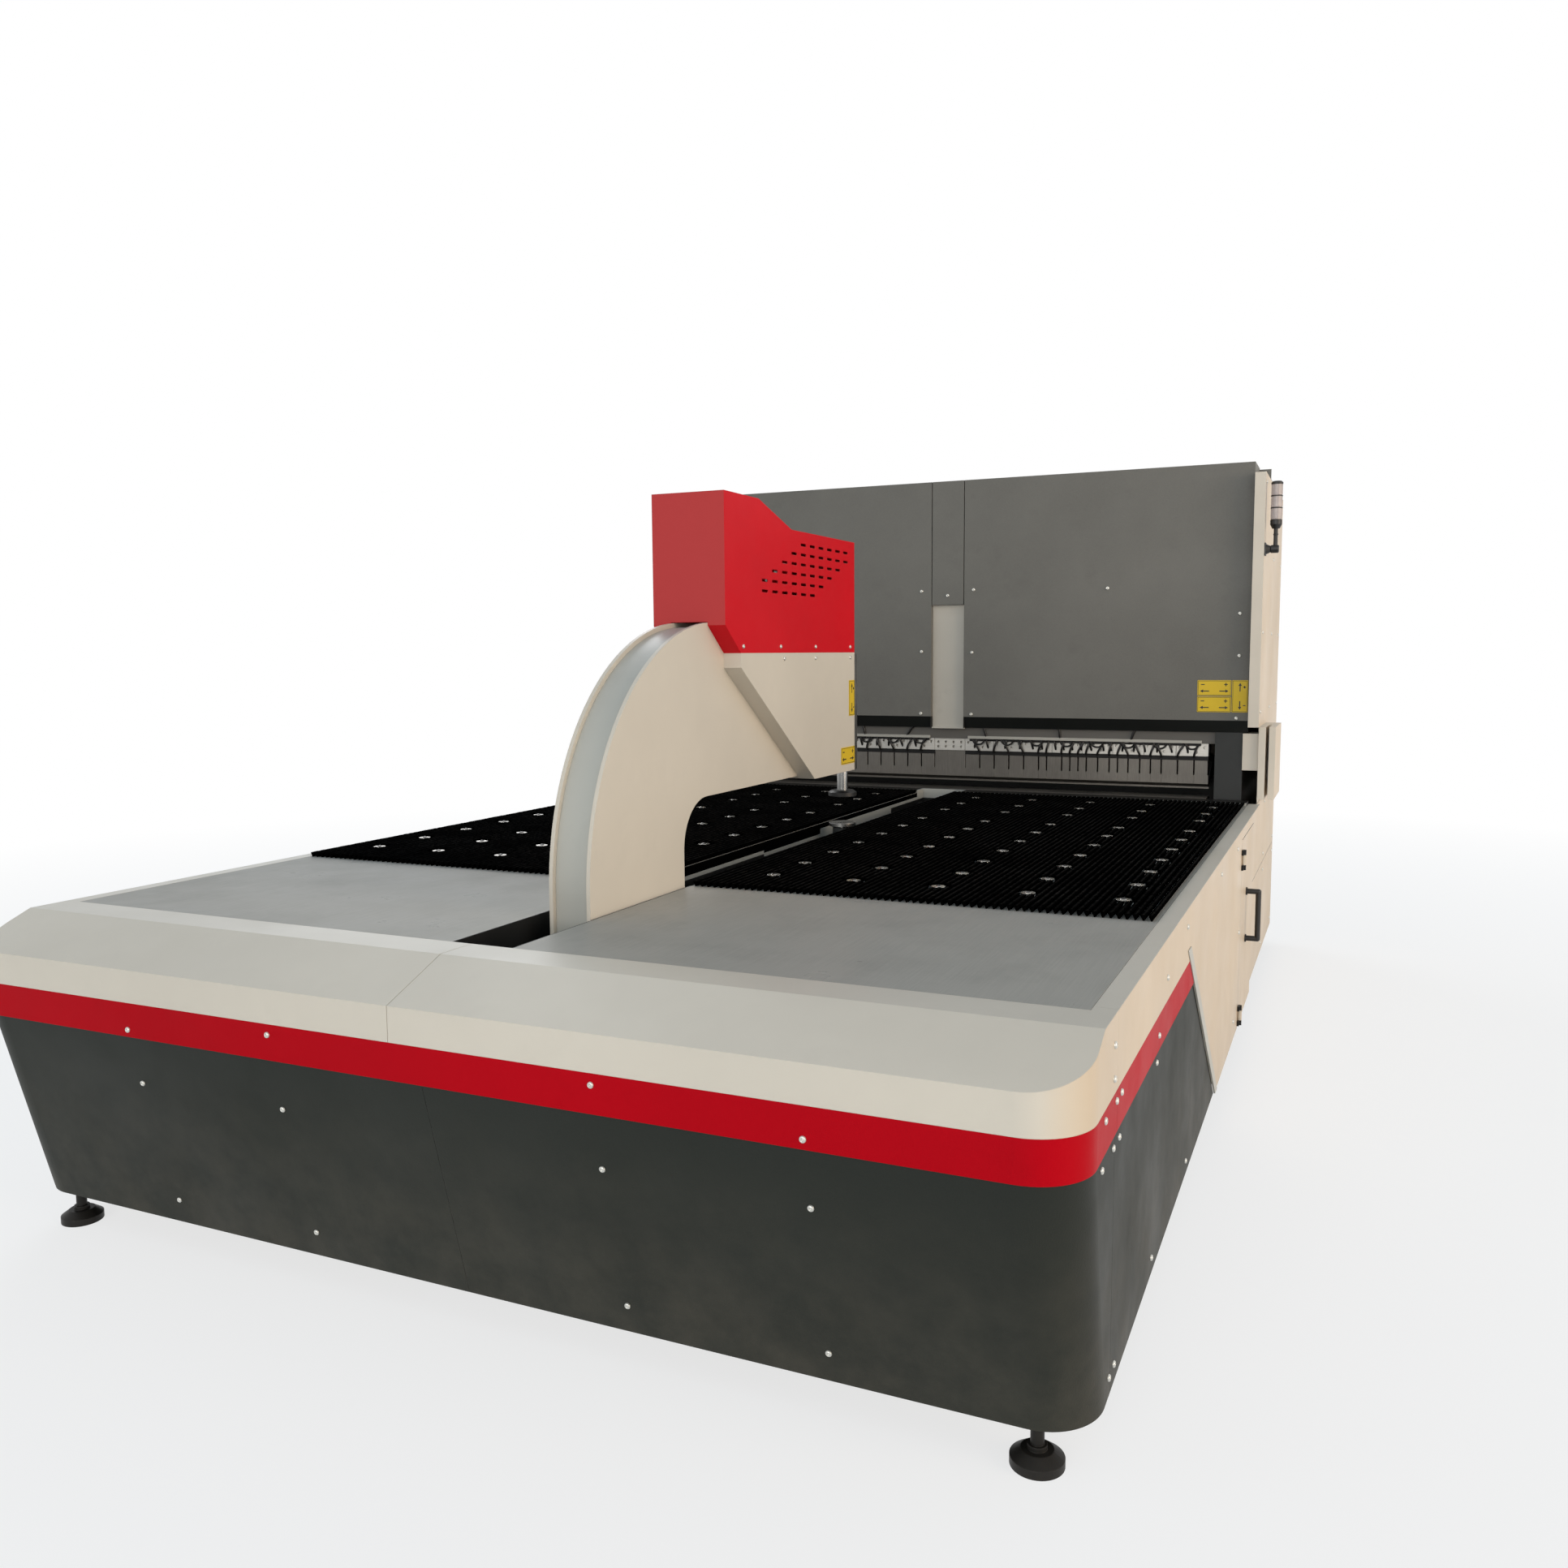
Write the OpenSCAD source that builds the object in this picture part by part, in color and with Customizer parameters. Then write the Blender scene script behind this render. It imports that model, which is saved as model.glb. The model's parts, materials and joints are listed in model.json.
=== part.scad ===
// Flexible panel bending centre: a brush feed table with a C-shaped manipulator arm
// stands in front of a bending head with a segmented blank-holder tool.
// Millimetres, +Z up. The modules measure y from the front face and z from the floor.

/* [Machine] */
// Width of the machine beyond the tools' length, both sides together
machine_w = 480; // [380:10:680]
// Length of the machine behind the bend line
machine_l = 1095; // [1045:10:1445]
// Height of the deck plates above the floor
table_h = 900; // [880:5:940]
// Thickness of the folded cover sheets
sheet_t = 3; // [2:0.5:4]
// Clear gap between sliding faces
fit_gap = 0.3; // [0.2:0.05:0.6]
// Radial clearance of running shafts and pins
run_gap = 0.05; // [0.02:0.01:0.1]

/* [Front covers] */
// Radius of the front corners in plan
corner_r = 125; // [90:5:170]
// Depth of the chamfer behind the front face
chamfer_d = 189; // [150:1:220]
// Height of the chamfer
chamfer_h = 77; // [60:1:100]
// Height of the white upright band
band_h = 84; // [60:1:110]
// Height of the red band
stripe_h = 88; // [60:1:110]
// Height of the dark skirt
skirt_h = 549; // [500:1:580]
// How far the skirt's hem stands back from its top edge
skirt_setback = 141; // [100:1:170]
// How far the skirt lies behind the red band
skirt_recess = 4; // [1:1:8]
// Joint between the corner pieces and the side pieces, from the front face
cover_joint = 330; // [315:1:400]
// Joint of the white cowl halves, from the centre plane
cowl_joint = -49; // [-90:1:0]
// Joint of the skirt halves, from the centre plane
skirt_joint = 39; // [0:1:90]
// Top end of the inclined edge trim, from the front face
trim_top = 1421; // [1200:1:1600]
// Foot of the inclined edge trim, from the front face
trim_foot = 2265; // [2000:1:2400]
// Width of the edge trim along the machine
trim_w = 60; // [40:1:90]

/* [Table] */
// Width of the rim along the sides
rim_w = 50; // [40:1:65]
// Front edge of the deck plates, from the front face
deck_front = 304; // [290:1:312]
// Length of the deck plates
deck_l = 893; // [800:1:950]
// Length of the brush beds
bed_l = 2703; // [2660:1:2750]
// Depth of the deck trays below the deck's top
tray_h = 47; // [40:1:56]
// Thickness of the brush boards
board_t = 15; // [12:1:20]
// Slot edge left of the centre plane
slot_left = 106; // [90:1:120]
// Slot edge right of the centre plane
slot_right = 72; // [70:1:90]
// Distance between brush rows
brush_pitch = 21; // [18:1:26]
// Height of the bristles above the deck
brush_h = 17; // [12:1:22]
// Diameter of the transfer balls
ball_d = 26; // [20:1:28]
// Innermost ball column, from the centre plane
ball_x = 254; // [230:1:270]
// Distance between ball columns
ball_col = 268; // [240:1:272]
// First ball row, from the front end of the beds
ball_y = 211; // [150:1:260]
// Distance between ball rows
ball_row = 246; // [220:1:250]
// Extra distance between the front and the rear group of ball rows
ball_break = 72; // [0:1:90]

/* [Arm] */
// Width over the arm's side plates
arm_w = 130; // [110:1:136]
// Thickness of the side plates
arm_plate_t = 12; // [8:1:16]
// Back of the arm, from the front face
arm_back = 657; // [640:1:700]
// Depth of the arm's column at the deck
arm_depth = 518; // [470:1:540]
// Radius of the arm's outer curve
arm_r = 738; // [700:1:780]
// Height of the curve's centre above the deck
arm_arc_v = 60; // [30:1:90]
// Height of the throat above the deck
throat_v = 260; // [250:1:300]
// Radius in the throat's upper corner
throat_r = 150; // [100:1:180]
// Recess of the curved web between the side plates
web_recess = 14; // [8:1:24]
// Thickness of the curved web
web_t = 10; // [6:1:14]
// Spindle axis of the press, from the front face
press_y = 2622; // [2600:1:2650]
// Diameter of the press rod
rod_d = 43; // [36:1:50]
// Diameter of the press pad
pad_d = 114; // [100:1:124]
// Thickness of the press pad
pad_t = 25; // [20:1:32]
// Height of the pad's underside above the deck
pad_v = 123; // [115:1:140]
// Diameter of the turntable
turntable_d = 110; // [96:1:126]

/* [Arm head] */
// Width of the head shells
head_w = 252; // [220:1:280]
// Back of the red shell, from the front face
head_back = 1345; // [1320:1:1370]
// Length of the head shells
head_l = 1090; // [1080:1:1100]
// Joint between the red and the white shell, above the deck
head_split_v = 702; // [690:1:720]
// Top of the red shell's raised part, above the deck
head_top_v = 1195; // [1150:1:1240]
// Drop from the raised part to the low part of the red shell
head_step = 77; // [40:1:110]
// Underside of the white shell, above the deck
head_low_v = 250; // [240:1:250]
// Length of a vent slot
vent_l = 46; // [30:1:56]
// Height of a vent slot
vent_h = 9; // [6:1:14]
// Distance between vents along a row
vent_pitch = 79; // [70:1:90]
// Distance between vent rows
vent_row = 34; // [26:1:40]

/* [Bending head] */
// Bend line, behind the brush beds
bend_line = 255; // [240:1:300]
// Length of the tools along the bend line
bend_l = 2520; // [2460:10:2540]
// Thickness of the tool segments
tool_t = 50; // [40:1:52]
// Height of the tool edge above the deck when open
tool_v = 57; // [54:1:80]
// Height of a tool segment
tool_h = 127; // [70:1:140]
// Width of the plain centre tool
centre_tool_w = 160; // [140:1:200]
// Share of the segment height that its side slits take
slit_share = 0.55; // [0.4:0.05:0.75]
// Height of the black clamp strip
strip_h = 20; // [12:1:26]
// Height of the drilled tool holders
holder_h = 61; // [50:1:110]
// Holder blocks on each side of the centre one
holder_count = 8; // [6:1:10]
// Depth of the lower tool
lower_tool_d = 150; // [140:1:160]
// Gap between the tools' ends and the side frames
frame_x = 30; // [25:1:60]
// Thickness of the side frames
frame_t = 122; // [100:1:126]
// Step from the side panels in to the head covers' outer faces
cover_x = 15; // [5:1:30]
// Front edge of the head covers, ahead of the bend line
cover_front = 165; // [155:1:185]
// Top of the head covers, above the crown beam
cover_top = 90; // [50:1:140]

/* [Hood] */
// How far the hood stands above the head covers
hood_top = 54; // [10:1:110]
// Lower edge of the hood's front, above the floor
hood_low = 1276; // [1260:1:1300]
// How far the hood's sides stand outside the side frames
hood_w = 22; // [13:1:28]
// Distance from the hood's front to the bend line
hood_setback = 109; // [105:1:115]
// Height of the slanted lip under the hood
lip_h = 55; // [40:1:70]
// Depth of the slanted lip
lip_d = 23; // [15:1:24]
// Width of the open channel in the middle
channel_w = 170; // [150:1:200]
// Top of the open channel above the floor
channel_top = 1837; // [1800:1:1900]

/* [Doors] */
// Front edge of the doors, ahead of the bend line
door_front = 1045; // [955:1:1105]
// Length of the doors
door_l = 565; // [500:1:600]
// Gap round the doors
door_gap = 5; // [4:1:8]
// Depth of the door's folded edges
door_fold = 25; // [15:1:30]
// Radius of the hinge knuckles
knuckle_r = 8; // [7:1:10]
// Height of a hinge
hinge_h = 80; // [60:1:100]
// Distance between the handle's feet
handle_h = 197; // [160:1:240]
// How far the handle stands proud
handle_out = 60; // [45:1:80]
// Diameter of the handle's bar
handle_d = 22; // [16:1:28]

/* [Hidden] */
$fn = 48;

// Colours
white = [0.80, 0.76, 0.69];
red = [0.66, 0.02, 0.06];
dark = [0.20, 0.21, 0.19];
hood_grey = [0.37, 0.37, 0.35];
steel = [0.55, 0.56, 0.55];
black = [0.03, 0.03, 0.03];
light_grey = [0.62, 0.61, 0.58];

// Reach of cutting blocks and the overlap that keeps a cut clean
big = 6000;
eps = 1;

// Along the machine: deck plates, brush beds, bend line and rear cover
bed_front = deck_front + deck_l;
bed_back = bed_front + bed_l;
bend_y = bed_back + bend_line;
rear_y = bend_y + machine_l;
door_y = bend_y - door_front;
cover_y = bend_y - cover_front;

// Across the machine: tools, side frames, hood, side panels and head covers
frame_in = bend_l / 2 + frame_x;
frame_out = frame_in + frame_t;
hood_half = frame_out + hood_w;
side_x = (bend_l + machine_w) / 2;
cover_face = side_x - cover_x;

// Levels
z_band = table_h - chamfer_h;
z_stripe = z_band - band_h;
z_skirt = z_stripe - stripe_h;
z_hem = z_skirt - skirt_h;
z_sheet = table_h + brush_h;
frame_top = table_h - tray_h;
board_top = frame_top + board_t;
bristle_l = z_sheet - board_top;
chamfer_angle = atan(chamfer_h / chamfer_d);
skirt_angle = atan(skirt_setback / skirt_h);
joint_gap = 1;

// Base frame
tube = 100;
frame_low = 140;
frame_front = 170;
frame_inset = 70;
frame_side = side_x - frame_inset;
head_front = bend_y - lower_tool_d;
rail_x = 220;
rail_w = 40;
rail_h = 30;
rail_beam_w = 140;
rail_drop = 340;
rail_z = table_h - rail_drop;
foot_first = 200;
foot_clear = 605;
foot_last = head_front - foot_clear;
foot_rows = [foot_first, (foot_first + foot_last) / 2, foot_last];
foot_shift = 20;
foot_pad_r = 55;
foot_stud_r = 14;
cross_first = 620;
cross_clear = 135;
cross_last = head_front - cross_clear;
cross_count = 7;
cross_step = (cross_last - cross_first) / (cross_count - 1);
cross_rows = [for (i = [0 : cross_count - 1]) cross_first + i * cross_step];
cross_w = 60;
stringer_w = 60;
post_x = 390;

// Carriage and feed screw
screw_r = 20;
screw_up = 25;
screw_z = rail_z + screw_up;
bearing_w = 45;
carriage_set = 43;
carriage_front = arm_back + carriage_set;
carriage_l = 1200;
carriage_t = 40;
carriage_half = 290;
block_h = 28;
foot_z = rail_z + rail_h + block_h + carriage_t;
nut_in = 500;
nut_y = carriage_front + nut_in;
nut_l = 120;

// Table
bristle_root = 5;
bristle_tip = 17;
guide_t = 3;
slot_front = deck_front;
slot_back = head_front - 15;
step_first = 900;
step_next = 550;
step_places = [bed_front + step_first, bed_front + step_first + step_next];
step_down = 10;
step_up = 12;
ball_margin = 100;
rear_rows = 3;
ball_rows = 1 + floor((bed_l - ball_y - ball_break - ball_margin) / ball_row);
front_rows = ball_rows - rear_rows;
columns = 1 + floor((side_x - rim_w - ball_x - ball_margin) / ball_col);
cup_wall = 3;
cup_r = ball_d / 2 + cup_wall;
cup_flange_r = cup_r + 5;
cup_flange_t = 3;
cup_hole_r = cup_flange_r + 2;
cup_floor = 2;
cup_rim = 9;

// Arm
arm_half = arm_w / 2;
arm_cy = arm_back + arm_r;
arm_cz = table_h + arm_arc_v;
throat_y = arm_back + arm_depth;
throat_z = table_h + throat_v;
head_front_y = head_back + head_l;
arm_tip = head_front_y + 5;
jaw_over = 68;
jaw_tip = press_y + jaw_over;
jaw_drop = 60;
jaw_top = table_h - jaw_drop;
nose_r = 60;
nose_drop = 25;
nose_low = throat_z - nose_drop;
nose_h = 465;
nose_top = nose_low + nose_h;
rod_r = rod_d / 2;
pad_z = table_h + pad_v;
rod_l = 372;
rod_top = pad_z + pad_t + rod_l;
rod_room = 120;
rod_bore_top = rod_top + rod_room;
spigot_r = 10;
spigot_h = 18;
drive_r = 40;
shaft_r = 18;
disc_t = 14;
disc_top = z_sheet - 1;

// Head shells
head_half = head_w / 2;
head_split = table_h + head_split_v;
head_top = table_h + head_top_v;
head_low = table_h + head_low_v;
head_corner_h = 86;
head_corner_d = 107;
head_ramp_in = 245;
head_ramp_start = head_back + head_ramp_in;
head_ramp_out = 505;
head_ramp_end = head_back + head_ramp_out;
head_diag_drop = 46;
head_diag_l = 696;
head_diag_end = head_back + head_diag_l;
vent_in = 604;
vent_first = head_back + vent_in;
vent_set = 270;
vent_back = head_back + vent_set;
vent_margin = 80;
vent_front = head_front_y - vent_margin;
vent_z = head_top - head_step - 45;
vent_rows = 6;
vent_columns = 7;

// Bending head
hood_y = bend_y - hood_setback;
channel_half = channel_w / 2;
hood_seam = 4;
hood_flange = 250;
channel_d = 26;
channel_y = hood_y + channel_d;
tool_low = table_h + tool_v;
strip_z = tool_low + tool_h;
holder_z = strip_z + strip_h;
beam_z = holder_z + holder_h;
beam_h = 635;
beam_set = 39;
beam_y = hood_y + beam_set;
beam_d = 235;
tool_y = bend_y - tool_t;
holder_y = tool_y - 8;
cylinder_x = 800;
cylinder_in = 120;
cylinder_y = beam_y + cylinder_in;
cylinder_r = 70;
beam_room = 140;
crown_z = beam_z + beam_h + beam_room;
crown_h = 360;
cover_z = crown_z + crown_h + cover_top;
hood_z = cover_z + hood_top;
crown_d = 610;
beam_rod_r = 30;
frame_clear = 250;
frame_back = rear_y - frame_clear;
plate_drop = 60;
frame_plate_top = cover_z - plate_drop;
cover_gap = 4;
cover_drop = 26;
cover_low = hood_low - cover_drop;
rear_d = 50;
window_set = 165;
window_front = bend_y + window_set;
window_margin = 120;
window_back = frame_back - window_margin;
window_up = 370;
window_low = table_h + window_up;
window_h = 570;
window_top = window_low + window_h;
window_r = 60;
stub_in = 300;
stub_y = frame_back - stub_in;
stub_up = 40;
stub_drop = 180;
stub_mid = 240;
stub_top = 250;
stub_levels = [frame_low + stub_up, frame_top - stub_drop, table_h + stub_mid, cover_z - stub_top];
stub_w = 60;
guard_t = 28;
guard_gap = 14;
guard_l = 400;
guard_low = z_sheet;
guard_block = 60;
end_box_drop = 59;
end_box_h = 170;
end_box_top = hood_low - end_box_drop;
end_box_set = 20;
end_box_d = 140;
seam_w = 4;
seam_d = 1.5;
lower_drop = 37;
lower_beam_top = z_sheet - lower_drop;
tool_bevel = 16;
tool_edge = 14;
holder_w = (bend_l - centre_tool_w) / (2 * holder_count);
hole_d = 13;
hole_deep = 20;
hole_low = 18;
hole_high = 41;
slit_w = 6;
tool_gap = 0.6;
left_count = 16;
// Relative widths of the tool segments right of the centre tool
right_shares = [15, 15, 15, 15, 15, 8, 15, 8, 8, 8, 11, 11, 8, 10, 11, 10, 10, 15, 15, 13];
manifold_h = 14;
manifold_d = 8;
manifold_end = 30;
hose_r = 4;
hose_loop = 8 * hose_r;

// Bending unit
blade_set = 10;
blade_y = bend_y + blade_set;
blade_d = 35;
bend_half = bend_l / 2 - 2;
bend_room = 300;
bend_back = frame_back - bend_room;
bend_web = 140;
bend_slope = 120;
bend_heel = 60;
bend_heel_h = 90;
jaw_root = 30;
bend_drop = 260;
bend_low = table_h - bend_drop;
bend_rise = 170;
bend_top = table_h + bend_rise;
blade_rise = 28;
upper_blade_z = z_sheet + blade_rise;
blade_drop = 12;
lower_blade_z = z_sheet - blade_drop;
upper_jaw_up = 40;
jaw_upper_z = upper_blade_z + upper_jaw_up;
lower_jaw_down = 55;
jaw_lower_z = lower_blade_z - lower_jaw_down;
saddle_plate = 60;
saddle_rail_z = frame_low + tube;
saddle_rail_h = 30;
saddle_z = saddle_rail_z + saddle_rail_h;
saddle_base = 60;
saddle_set = 245;
saddle_front = bend_y + saddle_set;
saddle_inset = 58;
saddle_half = bend_half - saddle_inset;
saddle_over = 60;
saddle_rail_x = 900;
lift_r = 20;
lift_tube_r = 45;
lift_y = bend_back - bend_web / 2;
lift_room = 70;
lift_top = bend_low - lift_room;
lift_dip = 150;
reach_rod_l = 70;
reach_r = 15;
reach_x = 450;
reach_up = 30;
reach_z = saddle_z + reach_up;
reach_block = 70;
reach_block_y = frame_back - reach_block;

// Doors
door_low = z_hem + 4;
door_drop = 46;
door_top = table_h - door_drop;
hinge_y = door_y - door_gap / 2;
hinge_x = side_x + knuckle_r;
pin_r = 4;
leaf_w = 24;
hinge_lows = [door_low + 6, door_top - 36 - hinge_h];
handle_y = door_y + 240;
handle_z = door_low + 308;

// Signal tower
tower_y = cover_y + 30;
tower_drop = 340;
tower_z = cover_z - tower_drop;
tower_x = cover_face + 45;
tower_r = 25;
tower_pin_r = 6;

// Block between two corners
module block(lo, hi) {
    translate(lo) cube(hi - lo);
}

// Profile in the y-z plane, drawn out from x0 to x1
module along_x(x0, x1) {
    translate([x0, 0, 0]) rotate([90, 0, 90]) linear_extrude(x1 - x0) children();
}

// Moves the drawing origin from the front face to the middle of the footprint
module placed() {
    translate([0, -rear_y / 2, 0]) children();
}

// Keeps what lies on one side of a joint across the machine's width
module half(side, joint) {
    intersection() {
        children();
        if (side < 0) block([-big, -big, -big], [joint - joint_gap / 2, big, big]);
        else block([joint + joint_gap / 2, -big, -big], [big, big, big]);
    }
}

// Plan of the covers with rounded front corners, drawn in by an inset
module plan(inset, back) {
    translate([-side_x + inset, corner_r]) square([2 * (side_x - inset), back - corner_r]);
    translate([-side_x + corner_r, inset]) square([2 * (side_x - corner_r), corner_r - inset + eps]);
    for (s = [-1, 1]) translate([s * (side_x - corner_r), corner_r]) circle(r = corner_r - inset);
}

// Everything in front of the inclined trim line on the sides
module before_trim(shift) {
    along_x(-big, big) polygon([
        [-eps, z_hem - eps], [trim_foot + shift, z_hem - eps], [trim_foot + shift, z_hem],
        [trim_top + shift, z_stripe + 40], [-eps, z_stripe + 40]
    ]);
}

module base_frame() {
    color(dark) placed() difference() {
        union() {
            for (s = [-1, 1]) {
                for (z = [frame_low, frame_top - tube]) {
                    block_mirror(s, [frame_side - tube, frame_front, z], [frame_side, head_front, z + tube]);
                }
                for (y = foot_rows) {
                    block_mirror(s, [frame_side - tube, y - tube / 2 + foot_shift, frame_low],
                        [frame_side, y + tube / 2 + foot_shift, frame_top]);
                    block_mirror(s, [post_x - tube / 2, y - tube / 2 + foot_shift, frame_low],
                        [post_x + tube / 2, y + tube / 2 + foot_shift, frame_top]);
                }
                block_mirror(s, [rail_x - rail_beam_w / 2, frame_front, frame_low],
                    [rail_x + rail_beam_w / 2, head_front, rail_z]);
                for (y = cross_rows) outrigger(s, y);
            }
            for (y = foot_rows) {
                block([-frame_side, y - tube / 2 + foot_shift, frame_low],
                    [frame_side, y + tube / 2 + foot_shift, frame_low + tube]);
            }
            for (y = cross_rows) top_member(y, y + cross_w);
            top_member(frame_front, deck_front + 10);
            block([-frame_side, frame_front, frame_top - tube], [frame_side, slot_front - 10, frame_top]);
            stringer(-slot_left - guide_t - stringer_w, -slot_left - guide_t);
            stringer(slot_right + guide_t, slot_right + guide_t + stringer_w);
            bearing_block(frame_front);
            bearing_block(head_front - bearing_w);
        }
        translate([0, frame_front + bearing_w / 3, screw_z]) rotate([-90, 0, 0])
            cylinder(r = screw_r + run_gap, h = head_front - frame_front - 2 * bearing_w / 3);
    }
}

// Block given on the right side, drawn on the side s
module block_mirror(s, lo, hi) {
    mirror([s < 0 ? 1 : 0, 0, 0]) block(lo, hi);
}

// Cross members that carry the deck on both sides of the slot
module top_member(y0, y1) {
    block([-frame_side, y0, frame_top - tube], [-slot_left - guide_t - stringer_w, y1, frame_top]);
    block([slot_right + guide_t + stringer_w, y0, frame_top - tube], [frame_side, y1, frame_top]);
}

module stringer(x0, x1) {
    block([x0, slot_front - 10, frame_top - tube], [x1, head_front, frame_top]);
}

// Short arms that carry the side sheets, left out behind the doors
module outrigger(s, y) {
    lower = y < trim_foot ? side_x - skirt_recess : side_x;
    if (y + cross_w < door_y - 40 || y > door_y + door_l + 20) {
        outer = y > door_y;
        block_mirror(s, [frame_side, y, frame_low],
            [(outer ? cover_face : lower) - sheet_t, y + cross_w, frame_low + tube]);
        block_mirror(s, [frame_side, y, frame_top - tube],
            [(outer ? cover_face : side_x) - sheet_t, y + cross_w, frame_top - 5]);
    }
}

module bearing_block(y) {
    block([-rail_x, y, frame_low], [rail_x, y + bearing_w, screw_z + screw_r + 20]);
}

module levelling_feet() {
    color(black) placed() for (s = [-1, 1]) {
        for (y = foot_rows) translate([s * (frame_side - tube / 2), y, 0]) foot();
        translate([s * (frame_in + frame_t / 2), frame_back - tube / 2, 0]) foot();
    }
}

module foot() {
    rotate_extrude() polygon([
        [0, 0], [foot_pad_r, 0], [foot_pad_r, 18], [foot_pad_r - 22, 34], [foot_stud_r + 6, 34],
        [foot_stud_r + 6, 44], [foot_stud_r, 44], [foot_stud_r, frame_low - 22],
        [foot_stud_r + 12, frame_low - 22], [foot_stud_r + 12, frame_low], [0, frame_low]
    ]);
}

// Solid bounded by the cowl's outer face, drawn in by an inset
module cowl_form(inset) {
    intersection() {
        translate([0, 0, z_stripe - (inset > 0 ? eps : 0)])
            linear_extrude(table_h - inset - z_stripe + (inset > 0 ? eps : 0))
                plan(inset, cover_joint + (inset > 0 ? eps : 0));
        translate([0, 0, z_band]) rotate([chamfer_angle, 0, 0])
            block([-big, -big, -big], [big, big, -inset]);
    }
}

module front_cowl() {
    difference() {
        cowl_form(0);
        difference() {
            cowl_form(sheet_t);
            block([-side_x + rim_w, deck_front - sheet_t, frame_top], [side_x - rim_w, deck_front, table_h]);
            for (s = [-1, 1]) {
                block_mirror(s, [side_x - rim_w, deck_front - sheet_t, frame_top],
                    [side_x - rim_w + sheet_t, cover_joint + 2 * eps, table_h]);
            }
        }
        block([-side_x + rim_w, deck_front, z_stripe - eps], [side_x - rim_w, big, table_h + eps]);
    }
}

module front_cowl_left() {
    color(white) placed() half(-1, cowl_joint) front_cowl();
}

module front_cowl_right() {
    color(white) placed() half(1, cowl_joint) front_cowl();
}

// Folded strip round the front with an inward flange along its lower edge
module red_band() {
    color(red) placed() intersection() {
        difference() {
            translate([0, 0, z_skirt]) linear_extrude(stripe_h) plan(0, big);
            translate([0, 0, z_skirt + sheet_t]) linear_extrude(stripe_h) plan(sheet_t, big + eps);
            translate([0, 0, z_skirt - eps]) linear_extrude(stripe_h) plan(28, big + eps);
            cover_joint_cut();
        }
        before_trim(0);
    }
}

module cover_joint_cut() {
    block([-big, cover_joint - joint_gap / 2, -big], [big, cover_joint + joint_gap / 2, big]);
}

// Skirt sheet: the front leans back towards the hem and the sides stay upright
module skirt() {
    intersection() {
        translate([0, skirt_recess, z_skirt]) rotate([skirt_angle, 0, 0]) translate([0, 0, -big / 2])
            linear_extrude(big) difference() {
                skirt_plan(0);
                skirt_plan(sheet_t);
            }
        block([-big, -eps, z_hem], [big, big, z_skirt]);
    }
}

module skirt_plan(inset) {
    x = side_x - skirt_recess;
    translate([-x + inset, corner_r]) square([2 * (x - inset), big - corner_r + inset]);
    translate([-x + corner_r, inset]) square([2 * (x - corner_r), corner_r - inset + eps]);
    for (s = [-1, 1]) translate([s * (x - corner_r), corner_r]) circle(r = corner_r - inset);
}

module front_skirt(side) {
    half(side, skirt_joint) intersection() {
        skirt();
        block([-big, -eps, 0], [big, cover_joint - joint_gap / 2, big]);
    }
}

module front_skirt_left() {
    color(dark) placed() front_skirt(-1);
}

module front_skirt_right() {
    color(dark) placed() front_skirt(1);
}

module side_skirts() {
    color(dark) placed() intersection() {
        skirt();
        before_trim(0);
        block([-big, cover_joint + joint_gap / 2, 0], [big, big, big]);
    }
}

// Flat strips that cover the inclined joint on both sides
module edge_trims() {
    color(light_grey) placed() for (s = [-1, 1]) {
        x0 = s > 0 ? side_x : -side_x - sheet_t;
        intersection() {
            along_x(x0, x0 + sheet_t) polygon([
                [trim_top, z_stripe + 40], [trim_top + trim_w, z_stripe + 40],
                [trim_foot + trim_w, z_hem], [trim_foot, z_hem]
            ]);
            block([-big, 0, z_hem], [big, big, z_stripe + 40]);
        }
    }
}

// White side panel on the right: rim, band and the sheet behind the inclined joint
module side_panel() {
    back = door_y + door_l + door_gap;
    difference() {
        union() {
            block([side_x - sheet_t, cover_joint + joint_gap / 2, z_hem], [side_x, back, table_h]);
            block([side_x - rim_w, cover_joint + joint_gap / 2, table_h - sheet_t],
                [side_x, cover_y, table_h]);
            block([side_x - rim_w, cover_joint + joint_gap / 2, frame_top],
                [side_x - rim_w + sheet_t, cover_y, table_h]);
        }
        block([0, 0, 0], [big, trim_top, z_stripe]);
        before_trim_low();
        block([0, door_y - door_gap, 0], [big, big, door_top + door_gap]);
    }
}

// The part of the inclined cut that lies below the white band
module before_trim_low() {
    intersection() {
        before_trim(joint_gap);
        block([-big, -eps, -eps], [big, big, z_stripe]);
    }
}

module side_panel_left() {
    color(white) placed() mirror([1, 0, 0]) side_panel();
}

module side_panel_right() {
    color(white) placed() side_panel();
}

// Deck tray between two x values with folded edges all round
module deck_tray(x0, x1) {
    difference() {
        block([x0, deck_front + joint_gap, frame_top], [x1, bed_front - joint_gap, table_h]);
        block([x0 + sheet_t, deck_front + joint_gap + sheet_t, frame_top - eps],
            [x1 - sheet_t, bed_front - joint_gap - sheet_t, table_h - sheet_t]);
    }
}

module deck_plate_left() {
    color(steel) placed() deck_tray(-side_x + rim_w + joint_gap, -slot_left - guide_t);
}

module deck_plate_right() {
    color(steel) placed() deck_tray(slot_right + guide_t, side_x - rim_w - joint_gap);
}

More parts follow.
